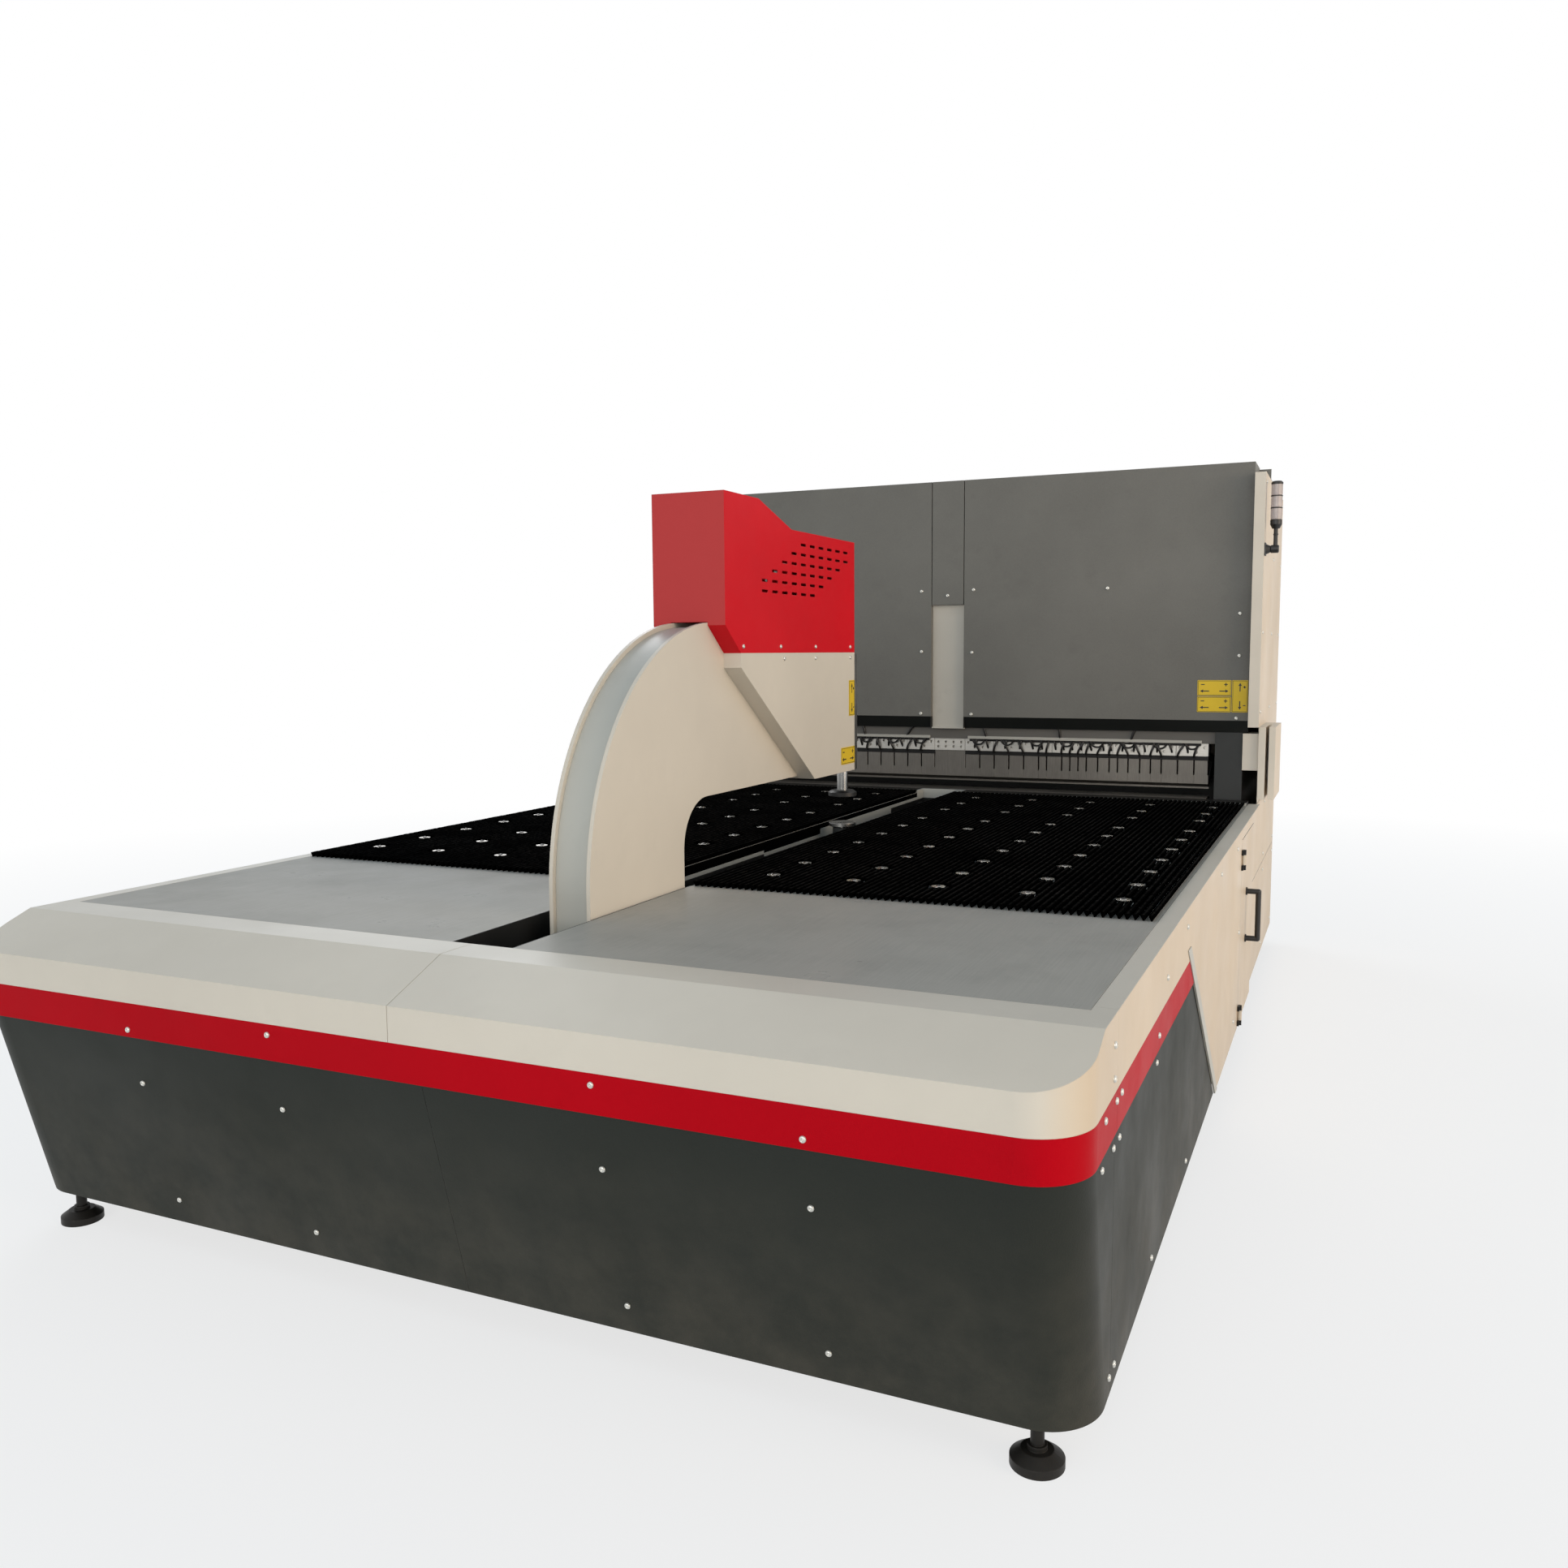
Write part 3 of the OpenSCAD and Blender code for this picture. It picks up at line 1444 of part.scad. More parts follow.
// C-shaped bend frame with its lift rods
module bend_frame() {
    color(dark) placed() {
        along_x(-bend_half, bend_half) polygon([
            [blade_y, jaw_upper_z], [blade_y + bend_slope, bend_top], [bend_back, bend_top],
            [bend_back, bend_low], [blade_y + bend_heel, bend_low], [blade_y, bend_low + bend_heel_h],
            [blade_y, jaw_lower_z], [blade_y + blade_d + 10, jaw_lower_z],
            [blade_y + blade_d + 2 * jaw_root, jaw_lower_z - jaw_root],
            [bend_back - bend_web, jaw_lower_z - jaw_root], [bend_back - bend_web, jaw_upper_z + 10],
            [blade_y + blade_d + jaw_root, jaw_upper_z]
        ]);
        for (s = [-1, 1]) translate([s * saddle_rail_x, lift_y, lift_top - lift_dip])
            cylinder(r = lift_r, h = bend_low - lift_top + lift_dip + eps);
    }
}

// Upper and lower bending blades
module bend_blades() {
    color(steel) placed() along_x(-bend_half, bend_half) {
        polygon([
            [blade_y, upper_blade_z], [blade_y + 10, upper_blade_z], [blade_y + blade_d, jaw_upper_z - 12],
            [blade_y + blade_d, jaw_upper_z], [blade_y, jaw_upper_z]
        ]);
        polygon([
            [blade_y, lower_blade_z], [blade_y + 10, lower_blade_z], [blade_y + blade_d, jaw_lower_z + 14],
            [blade_y + blade_d, jaw_lower_z], [blade_y, jaw_lower_z]
        ]);
    }
}

base_frame();
levelling_feet();
front_cowl_left();
front_cowl_right();
red_band();
front_skirt_left();
front_skirt_right();
side_skirts();
edge_trims();
side_panel_left();
side_panel_right();
deck_plate_left();
deck_plate_right();
brush_bed_left();
brush_bed_right();
ball_units();
slot_trim();
arm_rails();
side_frame_left();
side_frame_right();
head_bed();
lower_tool();
crown_beam();
beam_cylinders();
hood_left();
hood_right();
hood_strip();
channel_plate();
head_cover_left();
head_cover_right();
base_panels();
rear_cover();
top_cover();
door_hinges();
tower_bracket();
arm_plate_left();
arm_plate_right();
arm_web();
arm_carriage();
head_shell_upper();
head_shell_lower();
arm_nose();
turntable_drive();
press_rod();
press_pad();
turntable();
feed_screw();
upper_beam();
tool_holders();
clamp_strip();
tool_segments();
air_manifold();
bend_saddle();
bend_frame();
bend_blades();
door_left();
door_right();
handle_left();
handle_right();
signal_tower();
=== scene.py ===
import json
import math
import random

import bpy
from mathutils import Matrix, Vector


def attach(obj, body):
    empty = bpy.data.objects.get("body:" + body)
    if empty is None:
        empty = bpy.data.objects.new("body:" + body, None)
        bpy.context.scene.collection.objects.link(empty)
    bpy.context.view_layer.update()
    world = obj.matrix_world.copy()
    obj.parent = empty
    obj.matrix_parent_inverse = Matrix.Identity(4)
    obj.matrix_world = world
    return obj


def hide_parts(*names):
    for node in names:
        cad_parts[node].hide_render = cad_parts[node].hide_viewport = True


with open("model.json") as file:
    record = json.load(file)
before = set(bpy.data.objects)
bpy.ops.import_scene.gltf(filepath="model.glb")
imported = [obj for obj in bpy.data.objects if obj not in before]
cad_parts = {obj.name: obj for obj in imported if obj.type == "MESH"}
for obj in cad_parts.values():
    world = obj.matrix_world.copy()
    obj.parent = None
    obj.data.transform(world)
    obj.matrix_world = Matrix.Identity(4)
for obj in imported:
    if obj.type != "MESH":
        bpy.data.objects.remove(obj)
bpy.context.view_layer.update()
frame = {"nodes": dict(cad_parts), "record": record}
nodes = frame["nodes"]

# Places are given as the part's source gives them: millimetres, y from the front face, z from the floor
FRONT = 2625
BOARD = 868
BRISTLE_TOP = 917


def P(x, y, z):
    """Point of the part's source as a point of the row frame, in metres."""
    return Vector((x / 1000, (y - FRONT) / 1000, z / 1000))


def srgb(r, g, b):
    """Linear colour of an 8-bit sRGB colour."""
    def line(c):
        c /= 255
        return c / 12.92 if c <= 0.04045 else ((c + 0.055) / 1.055) ** 2.4
    return (line(r), line(g), line(b), 1.0)


# Node helpers

def add(tree, kind, inputs=None, **props):
    """New shader node with its properties, sockets and links set."""
    node = tree.nodes.new(kind)
    for key, value in props.items():
        setattr(node, key, value)
    for key, value in (inputs or {}).items():
        if isinstance(value, bpy.types.NodeSocket):
            tree.links.new(value, node.inputs[key])
        else:
            node.inputs[key].default_value = value
    return node


def new_material(name):
    material = bpy.data.materials.new(name)
    material.use_nodes = True
    tree = material.node_tree
    return material, tree, tree.nodes["Principled BSDF"]


def coords(tree, stretch=(1, 1, 1)):
    """Object coordinates, in metres, stretched per axis."""
    out = add(tree, "ShaderNodeTexCoord").outputs["Object"]
    if stretch == (1, 1, 1):
        return out
    return add(tree, "ShaderNodeMapping", {"Vector": out, "Scale": stretch}).outputs[0]


def noise(tree, scale, detail=3.0, rough=0.5, stretch=(1, 1, 1)):
    return add(tree, "ShaderNodeTexNoise", {
        "Vector": coords(tree, stretch), "Scale": scale, "Detail": detail, "Roughness": rough,
    }).outputs[0]


def ranged(tree, value, lo, hi, to_lo=0.0, to_hi=1.0):
    return add(tree, "ShaderNodeMapRange", {
        "Value": value, "From Min": lo, "From Max": hi, "To Min": to_lo, "To Max": to_hi,
    }).outputs[0]


def times(tree, a, b):
    return maths(tree, "MULTIPLY", a, b)


def mixed(tree, factor, a, b, blend="MIX"):
    return add(tree, "ShaderNodeMix", {0: factor, 6: a, 7: b}, data_type="RGBA", blend_type=blend).outputs[2]


def axis(tree, vector, index):
    """One component of a vector socket."""
    return add(tree, "ShaderNodeSeparateXYZ", {0: vector}).outputs[index]


def maths(tree, operation, a, b=None):
    inputs = {0: a} if b is None else {0: a, 1: b}
    return add(tree, "ShaderNodeMath", inputs, operation=operation).outputs[0]


def shade(colour, k):
    return (min(colour[0] * k, 1), min(colour[1] * k, 1), min(colour[2] * k, 1), 1.0)


def bumped(tree, bsdf, height, distance, strength=1.0, normal=None):
    inputs = {"Height": height, "Distance": distance, "Strength": strength}
    if normal is not None:
        inputs["Normal"] = normal
    out = add(tree, "ShaderNodeBump", inputs).outputs[0]
    tree.links.new(out, bsdf.inputs["Normal"])


def edge_mask(tree, radius):
    """Rounded normal along edges, and a mask that is 1 on them."""
    rounded = add(tree, "ShaderNodeBevel", {"Radius": radius}, samples=4).outputs[0]
    flat = add(tree, "ShaderNodeNewGeometry").outputs["Normal"]
    dot = add(tree, "ShaderNodeVectorMath", {0: rounded, 1: flat}, operation="DOT_PRODUCT").outputs["Value"]
    return rounded, ranged(tree, dot, 0.995, 0.86)


def height_of(tree):
    return axis(tree, coords(tree), 2)


def under(height):
    """Mask of what lies below a height, in metres."""
    return lambda tree: ranged(tree, height_of(tree), height + 0.0005, height - 0.0005)


def painted(name, colour, rough, peel=0.00025, peel_scale=420, spread=0.05, stain=0.25, wear=0.4,
            worn=None, dust=0.0, speckle=0.0, gloss=0.3, part=None, light_tint=None):
    """Powder coat: cloudy tone, stains, dust near the floor, worn edges and orange peel.

    part is (mask, colour) of a part of it in another colour, here used for painted shade and a painted reflection, and
    light_tint (mask, colour) of a part made warmer as painted warm light.
    """
    material, tree, bsdf = new_material(name)
    cloud = ranged(tree, noise(tree, 1.4, 4, 0.55), 0.34, 0.66)
    tone = mixed(tree, cloud, shade(colour, 1 - spread), shade(colour, 1 + spread))
    if speckle:
        grit = ranged(tree, noise(tree, 260, 2, 0.7), 0.35, 0.65, 0.0, speckle)
        tone = mixed(tree, grit, tone, shade(colour, 1.9))
    marks = ranged(tree, noise(tree, 5.5, 9, 0.68), 0.56, 0.78, 0.0, stain)
    tone = mixed(tree, marks, tone, shade(colour, 0.62))
    if dust:
        low = ranged(tree, height_of(tree), 0.62, 0.08)
        patchy = ranged(tree, noise(tree, 9, 6, 0.6), 0.3, 0.75, 0.2, 1.0)
        tone = mixed(tree, times(tree, times(tree, low, patchy), dust), tone, srgb(150, 140, 124))
    rounded, edge = edge_mask(tree, 0.0025)
    chips = ranged(tree, noise(tree, 34, 5, 0.7), 0.4, 0.66, 0.1, wear)
    tone = mixed(tree, times(tree, edge, chips), tone, worn or shade(colour, 1.35))
    if part:
        tone = mixed(tree, part[0](tree), tone, part[1])
    # Painted warm light: the masked faces are multiplied by a warm colour instead of being lit warmer
    if light_tint:
        tone = mixed(tree, light_tint[0](tree), tone, light_tint[1], "MULTIPLY")
    tree.links.new(tone, bsdf.inputs["Base Color"])
    sheen = ranged(tree, noise(tree, 3.2, 6, 0.6), 0.3, 0.7, rough - 0.07, rough + 0.09)
    tree.links.new(sheen, bsdf.inputs["Roughness"])
    bumped(tree, bsdf, noise(tree, peel_scale, 2, 0.5), peel, 0.6, rounded)
    bsdf.inputs["Specular IOR Level"].default_value = gloss
    return material


def metal(name, colour, rough, stretch=(1, 1, 1), grain=300, spread=0.12, stain=0.3, bump=0.00006, metallic=1.0,
          part=None, gloss=0.5):
    """Bare metal: grain lines along one axis, cloudy tone, oil marks and bright edges."""
    material, tree, bsdf = new_material(name)
    bsdf.inputs["Metallic"].default_value = metallic
    lines = noise(tree, grain, 3, 0.6, stretch)
    tone = mixed(tree, ranged(tree, lines, 0.3, 0.7), shade(colour, 1 - spread), shade(colour, 1 + spread))
    cloud = ranged(tree, noise(tree, 3.1, 7, 0.62), 0.5, 0.74, 0.0, stain)
    tone = mixed(tree, cloud, tone, shade(colour, 0.55))
    rounded, edge = edge_mask(tree, 0.0015)
    tone = mixed(tree, times(tree, edge, 0.6), tone, shade(colour, 1.5))
    if part:
        tone = mixed(tree, part[0](tree), tone, part[1])
    tree.links.new(tone, bsdf.inputs["Base Color"])
    polish = ranged(tree, noise(tree, 6, 6, 0.65), 0.3, 0.72, rough - 0.08, rough + 0.14)
    tree.links.new(polish, bsdf.inputs["Roughness"])
    bumped(tree, bsdf, lines, bump, 0.5, rounded)
    bsdf.inputs["Specular IOR Level"].default_value = gloss
    return material


def moulded(name, colour, rough, grain=600, bump=0.00012, spread=0.1):
    """Moulded plastic or rubber with a fine grain and patches of dust."""
    material, tree, bsdf = new_material(name)
    cloud = ranged(tree, noise(tree, 22, 5, 0.6), 0.35, 0.7)
    tone = mixed(tree, cloud, shade(colour, 1 - spread), shade(colour, 1 + 2 * spread))
    tree.links.new(tone, bsdf.inputs["Base Color"])
    gloss = ranged(tree, noise(tree, 30, 4, 0.6), 0.3, 0.7, rough - 0.06, rough + 0.08)
    tree.links.new(gloss, bsdf.inputs["Roughness"])
    bumped(tree, bsdf, noise(tree, grain, 2, 0.5), bump, 0.5)
    return material


def bristles(name):
    """Black nylon bristles: fine upright strands, paler at the tips in patches."""
    material, tree, bsdf = new_material(name)
    strands = noise(tree, 260, 3, 0.7, (1.0, 1.6, 0.12))
    tone = mixed(tree, ranged(tree, strands, 0.35, 0.75), srgb(1, 1, 1), srgb(9, 9, 9))
    tips = ranged(tree, height_of(tree), 0.9154, 0.9167, 0.0, 1.0)
    tip_patches = ranged(tree, noise(tree, 4, 6, 0.65), 0.3, 0.7, 0.25, 1.0)
    tone = mixed(tree, times(tree, tips, tip_patches), tone, srgb(44, 42, 40))
    tree.links.new(tone, bsdf.inputs["Base Color"])
    bsdf.inputs["Roughness"].default_value = 0.7
    bsdf.inputs["Specular IOR Level"].default_value = 0.0
    bumped(tree, bsdf, strands, 0.0012, 0.8)
    return material


def over(tree, value, limit):
    return maths(tree, "GREATER_THAN", value, limit)


def summed(tree, a, b):
    return maths(tree, "ADD", a, b)


def highest(tree, a, b):
    return maths(tree, "MAXIMUM", a, b)


def facing(tree, index):
    """Component of the surface's own normal."""
    return axis(tree, add(tree, "ShaderNodeTexCoord").outputs["Normal"], index)


def slot_shadow(tree):
    """Mask of the painted shade in the slot: its walls below the edge strips, its front end, and the apron beside it.
    """
    y = axis(tree, coords(tree), 1)
    behind_first, behind_next, behind_plate = (over(tree, y, at) for at in (-0.528, 0.022, 0.880))
    # Lower end of the light strip, where the painted shade starts: it follows the steps of the strip's top and drops
    # along the plate
    low = summed(tree, times(tree, behind_first, -0.010), times(tree, behind_next, -0.005))
    low = summed(tree, summed(tree, low, times(tree, behind_plate, 0.027)), 0.855)
    wall = over(tree, low, height_of(tree))
    ahead = over(tree, -1.428, y)
    aside = maths(tree, "ABSOLUTE", axis(tree, coords(tree), 0))
    apron = times(tree, over(tree, y, 1.276), over(tree, aside, 0.115))
    return highest(tree, highest(tree, wall, ahead), apron)


def facing_front(tree):
    """Mask of the faces that look to the machine's front."""
    return over(tree, -0.9, facing(tree, 1))


def facing_side(tree):
    """Mask of the faces that look to the machine's sides, soft round the corners."""
    return ranged(tree, maths(tree, "ABSOLUTE", facing(tree, 0)), 0.35, 0.95)


WHITE = srgb(210, 202, 188)
# Warm multiplier that paints warm side light onto the cream coat
SIDE_WARM_LIGHT = (0.95, 0.85, 0.74, 1)
RED = srgb(176, 3, 20)
# Near-black standing in for shade, painted in the slot and on the air rail
SHADE_BLACK = srgb(14, 14, 14)
M = {
    # Painted warm light: the cream coat's side faces are made warmer as if lit by a warm lamp from the side
    "white_paint": painted("cream_powder_coat", WHITE, 0.42, stain=0.10, dust=0.2, worn=srgb(226, 222, 212),
                           light_tint=(facing_side, SIDE_WARM_LIGHT)),
    "red_paint": painted("red_powder_coat", RED, 0.44, peel=0.0004, peel_scale=330, spread=0.07, stain=0.2,
                         worn=srgb(206, 60, 62), gloss=0.05),
    "dark_paint": painted("anthracite_texture_coat", srgb(38, 41, 37), 0.52, peel=0.0005, peel_scale=260, stain=0.15,
                          wear=0.5, worn=srgb(92, 92, 86), dust=0.14, speckle=0.05, gloss=0.14),
    "frame_paint": painted("machine_grey_enamel", srgb(52, 54, 54), 0.46, stain=0.35, worn=srgb(110, 110, 106),
                           gloss=0.2),
    # Painted shade: the hood is near-black below 1.277 m, along its lower lip
    "hood_paint": painted("hood_texture_coat", srgb(108, 107, 102), 0.50, peel=0.0005, peel_scale=240, spread=0.10,
                          stain=0.3, worn=srgb(146, 145, 138), speckle=0.10, gloss=0.2,
                          part=(under(1.277), srgb(24, 26, 25))),
    "grey_paint": painted("light_grey_enamel", srgb(182, 181, 173), 0.38, stain=0.2, worn=srgb(200, 198, 190)),
    "deck_steel": metal("deck_sheet_steel", srgb(172, 168, 160), 0.34, (1, 0.02, 1), 220, 0.05, 0.3, 0.00003,
                        metallic=0.06, gloss=0.012),
    "brush_nylon": bristles("black_bristles"),
    "bright_steel": metal("ground_steel", srgb(170, 170, 168), 0.24, (1, 1, 0.05), 420, 0.06, 0.12),
    "tool_steel": metal("tool_steel", srgb(106, 103, 98), 0.38, (1, 1, 0.06), 380, 0.14, 0.45, metallic=0.7),
    "holder_metal": metal("milled_holders", srgb(190, 188, 182), 0.34, (0.08, 1, 1), 300, 0.08, 0.3, metallic=0.6),
    "machined_metal": metal("machined_castings", srgb(140, 140, 138), 0.4, (1, 0.1, 1), 260, 0.1, 0.3),
    "black_metal": painted("black_oxide", srgb(20, 20, 20), 0.42, stain=0.3, worn=srgb(72, 70, 66), dust=0.05,
                           gloss=0.2),
    "black_plastic": moulded("black_plastic", srgb(20, 20, 20), 0.44),
    "lens_plastic": moulded("tower_plastic", srgb(178, 172, 160), 0.3),
}
# Painted reflection: faces looking to the front take a paler pinkish red for the sheen of the bright surroundings
HEAD_RED = painted("red_head_coat", srgb(206, 9, 27), 0.40, peel=0.0004, peel_scale=330, spread=0.07, stain=0.15,
                   worn=srgb(214, 66, 66), gloss=0.1, part=(facing_front, srgb(184, 62, 62)))
ARM_WHITE = painted("arm_powder_coat", WHITE, 0.42, stain=0.10, dust=0.2, worn=srgb(226, 222, 212))
CHANNEL = painted("channel_paint", srgb(190, 185, 174), 0.42, spread=0.08, stain=0.3, worn=srgb(206, 202, 192))
# Painted shade: the slot's walls below the light strips, its front end and the apron beside it are near-black
SLOT_TRIM = painted("slot_edge_paint", srgb(168, 168, 162), 0.42, stain=0.2, part=(slot_shadow, SHADE_BLACK))
BEAM = painted("beam_enamel", srgb(96, 94, 90), 0.46, stain=0.35, worn=srgb(150, 148, 142), gloss=0.2)
# Painted shade: the air rail is near-black below 1.1655 m
AIR_RAIL = painted("air_rail_paint", srgb(172, 170, 162), 0.4, stain=0.2, part=(under(1.1655), SHADE_BLACK))
# Painted reflection: the ball is dark grey above 913.4 mm for its reflection of the darker surroundings, and light
# below with its ring
BALL = metal("ball_steel", srgb(66, 66, 66), 0.16, (1, 1, 1), 700, 0.08, 0.2,
             part=(under(0.9134), srgb(222, 220, 214)))
SCREW = metal("zinc_screws", srgb(206, 206, 200), 0.28, (1, 1, 1), 900, 0.06, 0.1, metallic=0.7)
YELLOW = painted("yellow_plate", srgb(222, 188, 46), 0.4, stain=0.15, spread=0.04, worn=srgb(226, 204, 116),
                 gloss=0.2)
INK = moulded("black_ink", srgb(18, 17, 14), 0.5)
HOSE = moulded("black_hose", srgb(14, 14, 14), 0.4, 500)
LENS = moulded("clear_lens", srgb(176, 164, 160), 0.2, 300, 0.00005, 0.06)

for row in frame["record"]["subparts"]:
    data = nodes[row["node"]].data
    data.materials.clear()
    data.materials.append(M[row["material_slot"]])
for name in ("arm_plate_left", "arm_plate_right", "head_shell_lower"):
    nodes[name].data.materials[0] = ARM_WHITE
# The curved web of the arm is the same white as its plates in a cooler light
OWN = {"head_shell_upper": HEAD_RED, "slot_trim": SLOT_TRIM, "arm_web": M["grey_paint"], "ball_units": BALL,
       "channel_plate": CHANNEL, "air_manifold": AIR_RAIL, "upper_beam": BEAM}
for name, material in OWN.items():
    nodes[name].data.materials[0] = material


# Mesh helpers

def piece(name, verts, faces, material, body, smooth=False):
    """New mesh object in the row frame that rides on a body."""
    mesh = bpy.data.meshes.new(name)
    mesh.from_pydata([tuple(v) for v in verts], [], faces)
    mesh.validate()
    if smooth:
        mesh.polygons.foreach_set("use_smooth", [True] * len(mesh.polygons))
    obj = bpy.data.objects.new(name, mesh)
    bpy.context.scene.collection.objects.link(obj)
    for m in (material if isinstance(material, list) else [material]):
        mesh.materials.append(m)
    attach(obj, body)
    return obj


def basis(normal):
    """Rotation that turns +Z to the normal."""
    return Vector(normal).to_track_quat("Z", "Y").to_matrix()


def revolve(profile, sides, centre, turn, verts, faces):
    """Adds a body of revolution about the local z axis; profile points are (radius, height)."""
    rings = []
    for r, h in profile:
        if r < 1e-7:
            rings.append([len(verts)])
            verts.append(centre + turn @ Vector((0, 0, h)))
            continue
        ring = []
        for k in range(sides):
            a = 2 * math.pi * k / sides
            ring.append(len(verts))
            verts.append(centre + turn @ Vector((r * math.cos(a), r * math.sin(a), h)))
        rings.append(ring)
    for a, b in zip(rings, rings[1:]):
        for k in range(sides):
            n = (k + 1) % sides
            if len(a) == 1 and len(b) == 1:
                continue
            if len(a) == 1:
                faces.append((a[0], b[n], b[k]))
            elif len(b) == 1:
                faces.append((a[k], a[n], b[0]))
            else:
                faces.append((a[k], a[n], b[n], b[k]))


def screws(name, places, body, radius=0.0075):
    """Domed socket screws at (point, normal) places, as one piece."""
    r = radius
    profile = [(r, -0.0006), (r, 0.25 * r), (0.93 * r, 0.42 * r), (0.72 * r, 0.6 * r), (0.42 * r, 0.66 * r),
               (0.36 * r, 0.6 * r), (0.36 * r, 0.25 * r), (0, 0.25 * r)]
    verts, faces = [], []
    for point, normal in places:
        revolve(profile, 18, point, basis(normal), verts, faces)
    return piece(name, verts, faces, SCREW, body, smooth=True)


def prism(outline, low, high, turn, centre, verts, faces):
    """Adds a flat plate: a 2D outline, counter-clockwise, drawn out along the local z axis."""
    n, start = len(outline), len(verts)
    for h in (low, high):
        for x, y in outline:
            verts.append(centre + turn @ Vector((x, y, h)))
    faces.append(tuple(range(start + n, start + 2 * n)))
    faces.append(tuple(reversed(range(start, start + n))))
    for k in range(n):
        m = (k + 1) % n
        faces.append((start + k, start + m, start + n + m, start + n + k))


def rounded_rect(w, h, r, steps=5):
    out = []
    for cx, cy, a0 in ((w / 2 - r, h / 2 - r, 0), (r - w / 2, h / 2 - r, 90), (r - w / 2, r - h / 2, 180),
                       (w / 2 - r, r - h / 2, 270)):
        for k in range(steps + 1):
            a = math.radians(a0 + 90 * k / steps)
            out.append((cx + r * math.cos(a), cy + r * math.sin(a)))
    return out


def tube(name, paths, radius, material, body):
    """Smooth tubes along point lists, as one mesh."""
    curve = bpy.data.curves.new(name, "CURVE")
    curve.dimensions = "3D"
    curve.bevel_depth = radius
    curve.bevel_resolution = 2
    curve.resolution_u = 6
    curve.use_fill_caps = True
    for path in paths:
        spline = curve.splines.new("BEZIER")
        spline.bezier_points.add(len(path) - 1)
        for bp, point in zip(spline.bezier_points, path):
            bp.co = point
            bp.handle_left_type = bp.handle_right_type = "AUTO"
    holder = bpy.data.objects.new(name + "_curve", curve)
    bpy.context.scene.collection.objects.link(holder)
    bpy.context.view_layer.update()
    mesh = bpy.data.meshes.new_from_object(holder.evaluated_get(bpy.context.evaluated_depsgraph_get()))
    bpy.data.objects.remove(holder)
    mesh.name = name
    mesh.materials.clear()
    mesh.materials.append(material)
    mesh.polygons.foreach_set("use_smooth", [True] * len(mesh.polygons))
    obj = bpy.data.objects.new(name, mesh)
    bpy.context.scene.collection.objects.link(obj)
    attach(obj, body)
    return obj


# Brush beds: rows of bristle tufts on a board

BED_FRONT, BED_BACK = 1197, 3900
# Ball columns to each side of the slot, ball rows, and the wider gap before the last three rows
FIRST_X, STEP_X, FIRST_Y, STEP_Y, LAST_GAP = 254, 268, 211, 246, 72
BALLS = [(s * (FIRST_X + STEP_X * c), BED_FRONT + FIRST_Y + STEP_Y * r + (0 if r < 7 else LAST_GAP))
         for s in (-1, 1) for c in range(5) for r in range(10)]
BALL_CLEAR = 37
SHEET = 899.5
BOARD_T = 15
ROW_PITCH = 21
TUFT_PITCH, TUFT_HALF_L = 14, 6.4
ROOT_HALF, TIP_HALF = 1.6, 8.9
TIP_W = 17


def tuft(x, y, rng, verts, faces):
    """Adds a tuft that flares from its root to a worn, uneven ridge."""
    lean = rng.uniform(-1.0, 1.0)
    wide = [TIP_HALF - rng.uniform(0, 1.2) for _ in range(2)]
    sides = [BRISTLE_TOP - rng.uniform(2.0, 3.4) for _ in range(2)]
    ridge = BRISTLE_TOP - rng.uniform(0, 0.9)
    i = len(verts)
    for y0 in (y - TUFT_HALF_L, y + TUFT_HALF_L):
        verts.extend([P(x - ROOT_HALF, y0, SHEET), P(x + ROOT_HALF, y0, SHEET),
                      P(x + wide[0], y0 + lean, sides[0]), P(x + lean, y0 + lean, ridge),
                      P(x - wide[1], y0 + lean, sides[1])])
    faces.extend([(i, i + 1, i + 2, i + 3, i + 4), (i + 9, i + 8, i + 7, i + 6, i + 5),
                  (i + 1, i + 6, i + 7, i + 2), (i + 5, i, i + 4, i + 9),
                  (i + 2, i + 7, i + 8, i + 3), (i + 3, i + 8, i + 9, i + 4)])


def brush_bed(side, x0, x1):
    """Bed of tufts in rows along the feed, with clearings round the balls."""
    rng = random.Random(11 if side == "left" else 12)
    rows = int((x1 - x0 - TIP_W) // ROW_PITCH)
    first = (x0 + x1 - rows * ROW_PITCH) / 2
    corners = ((x0, BED_FRONT), (x1, BED_FRONT), (x1, BED_BACK), (x0, BED_BACK))
    verts, faces = [], []
    # The board carries a light sheet, level with the deck, that shows between the tufts
    prism([(x / 1000, y / 1000) for x, y in corners], (BOARD - BOARD_T) / 1000, SHEET / 1000, Matrix.Identity(3),
          Vector((0, -FRONT / 1000, 0)), verts, faces)
    count = int((BED_BACK - BED_FRONT) // TUFT_PITCH)
    for i in range(rows + 1):
        x = first + i * ROW_PITCH
        near = [b for b in BALLS if abs(b[0] - x) < BALL_CLEAR + TIP_W / 2]
        for k in range(count):
            y = BED_FRONT + (k + 0.5) * (BED_BACK - BED_FRONT) / count
            if not any(math.hypot(b[0] - x, b[1] - y) < BALL_CLEAR for b in near):
                tuft(x, y, rng, verts, faces)
    bed = piece("bristle_bed_" + side, verts, faces, [M["brush_nylon"], M["deck_steel"]], "machine")
    # The prism's first face is the top of the board
    bed.data.polygons[0].material_index = 1
    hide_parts("brush_bed_" + side)


brush_bed("left", -1449, -109)
brush_bed("right", 75, 1449)


# Screws

LEAN = math.atan(141 / 549)


def on_skirt(x, z):
    """Place on the leaning front of the skirt."""
    return P(x, 4 + (651 - z) * math.tan(LEAN), z), (0, -math.cos(LEAN), -math.sin(LEAN))


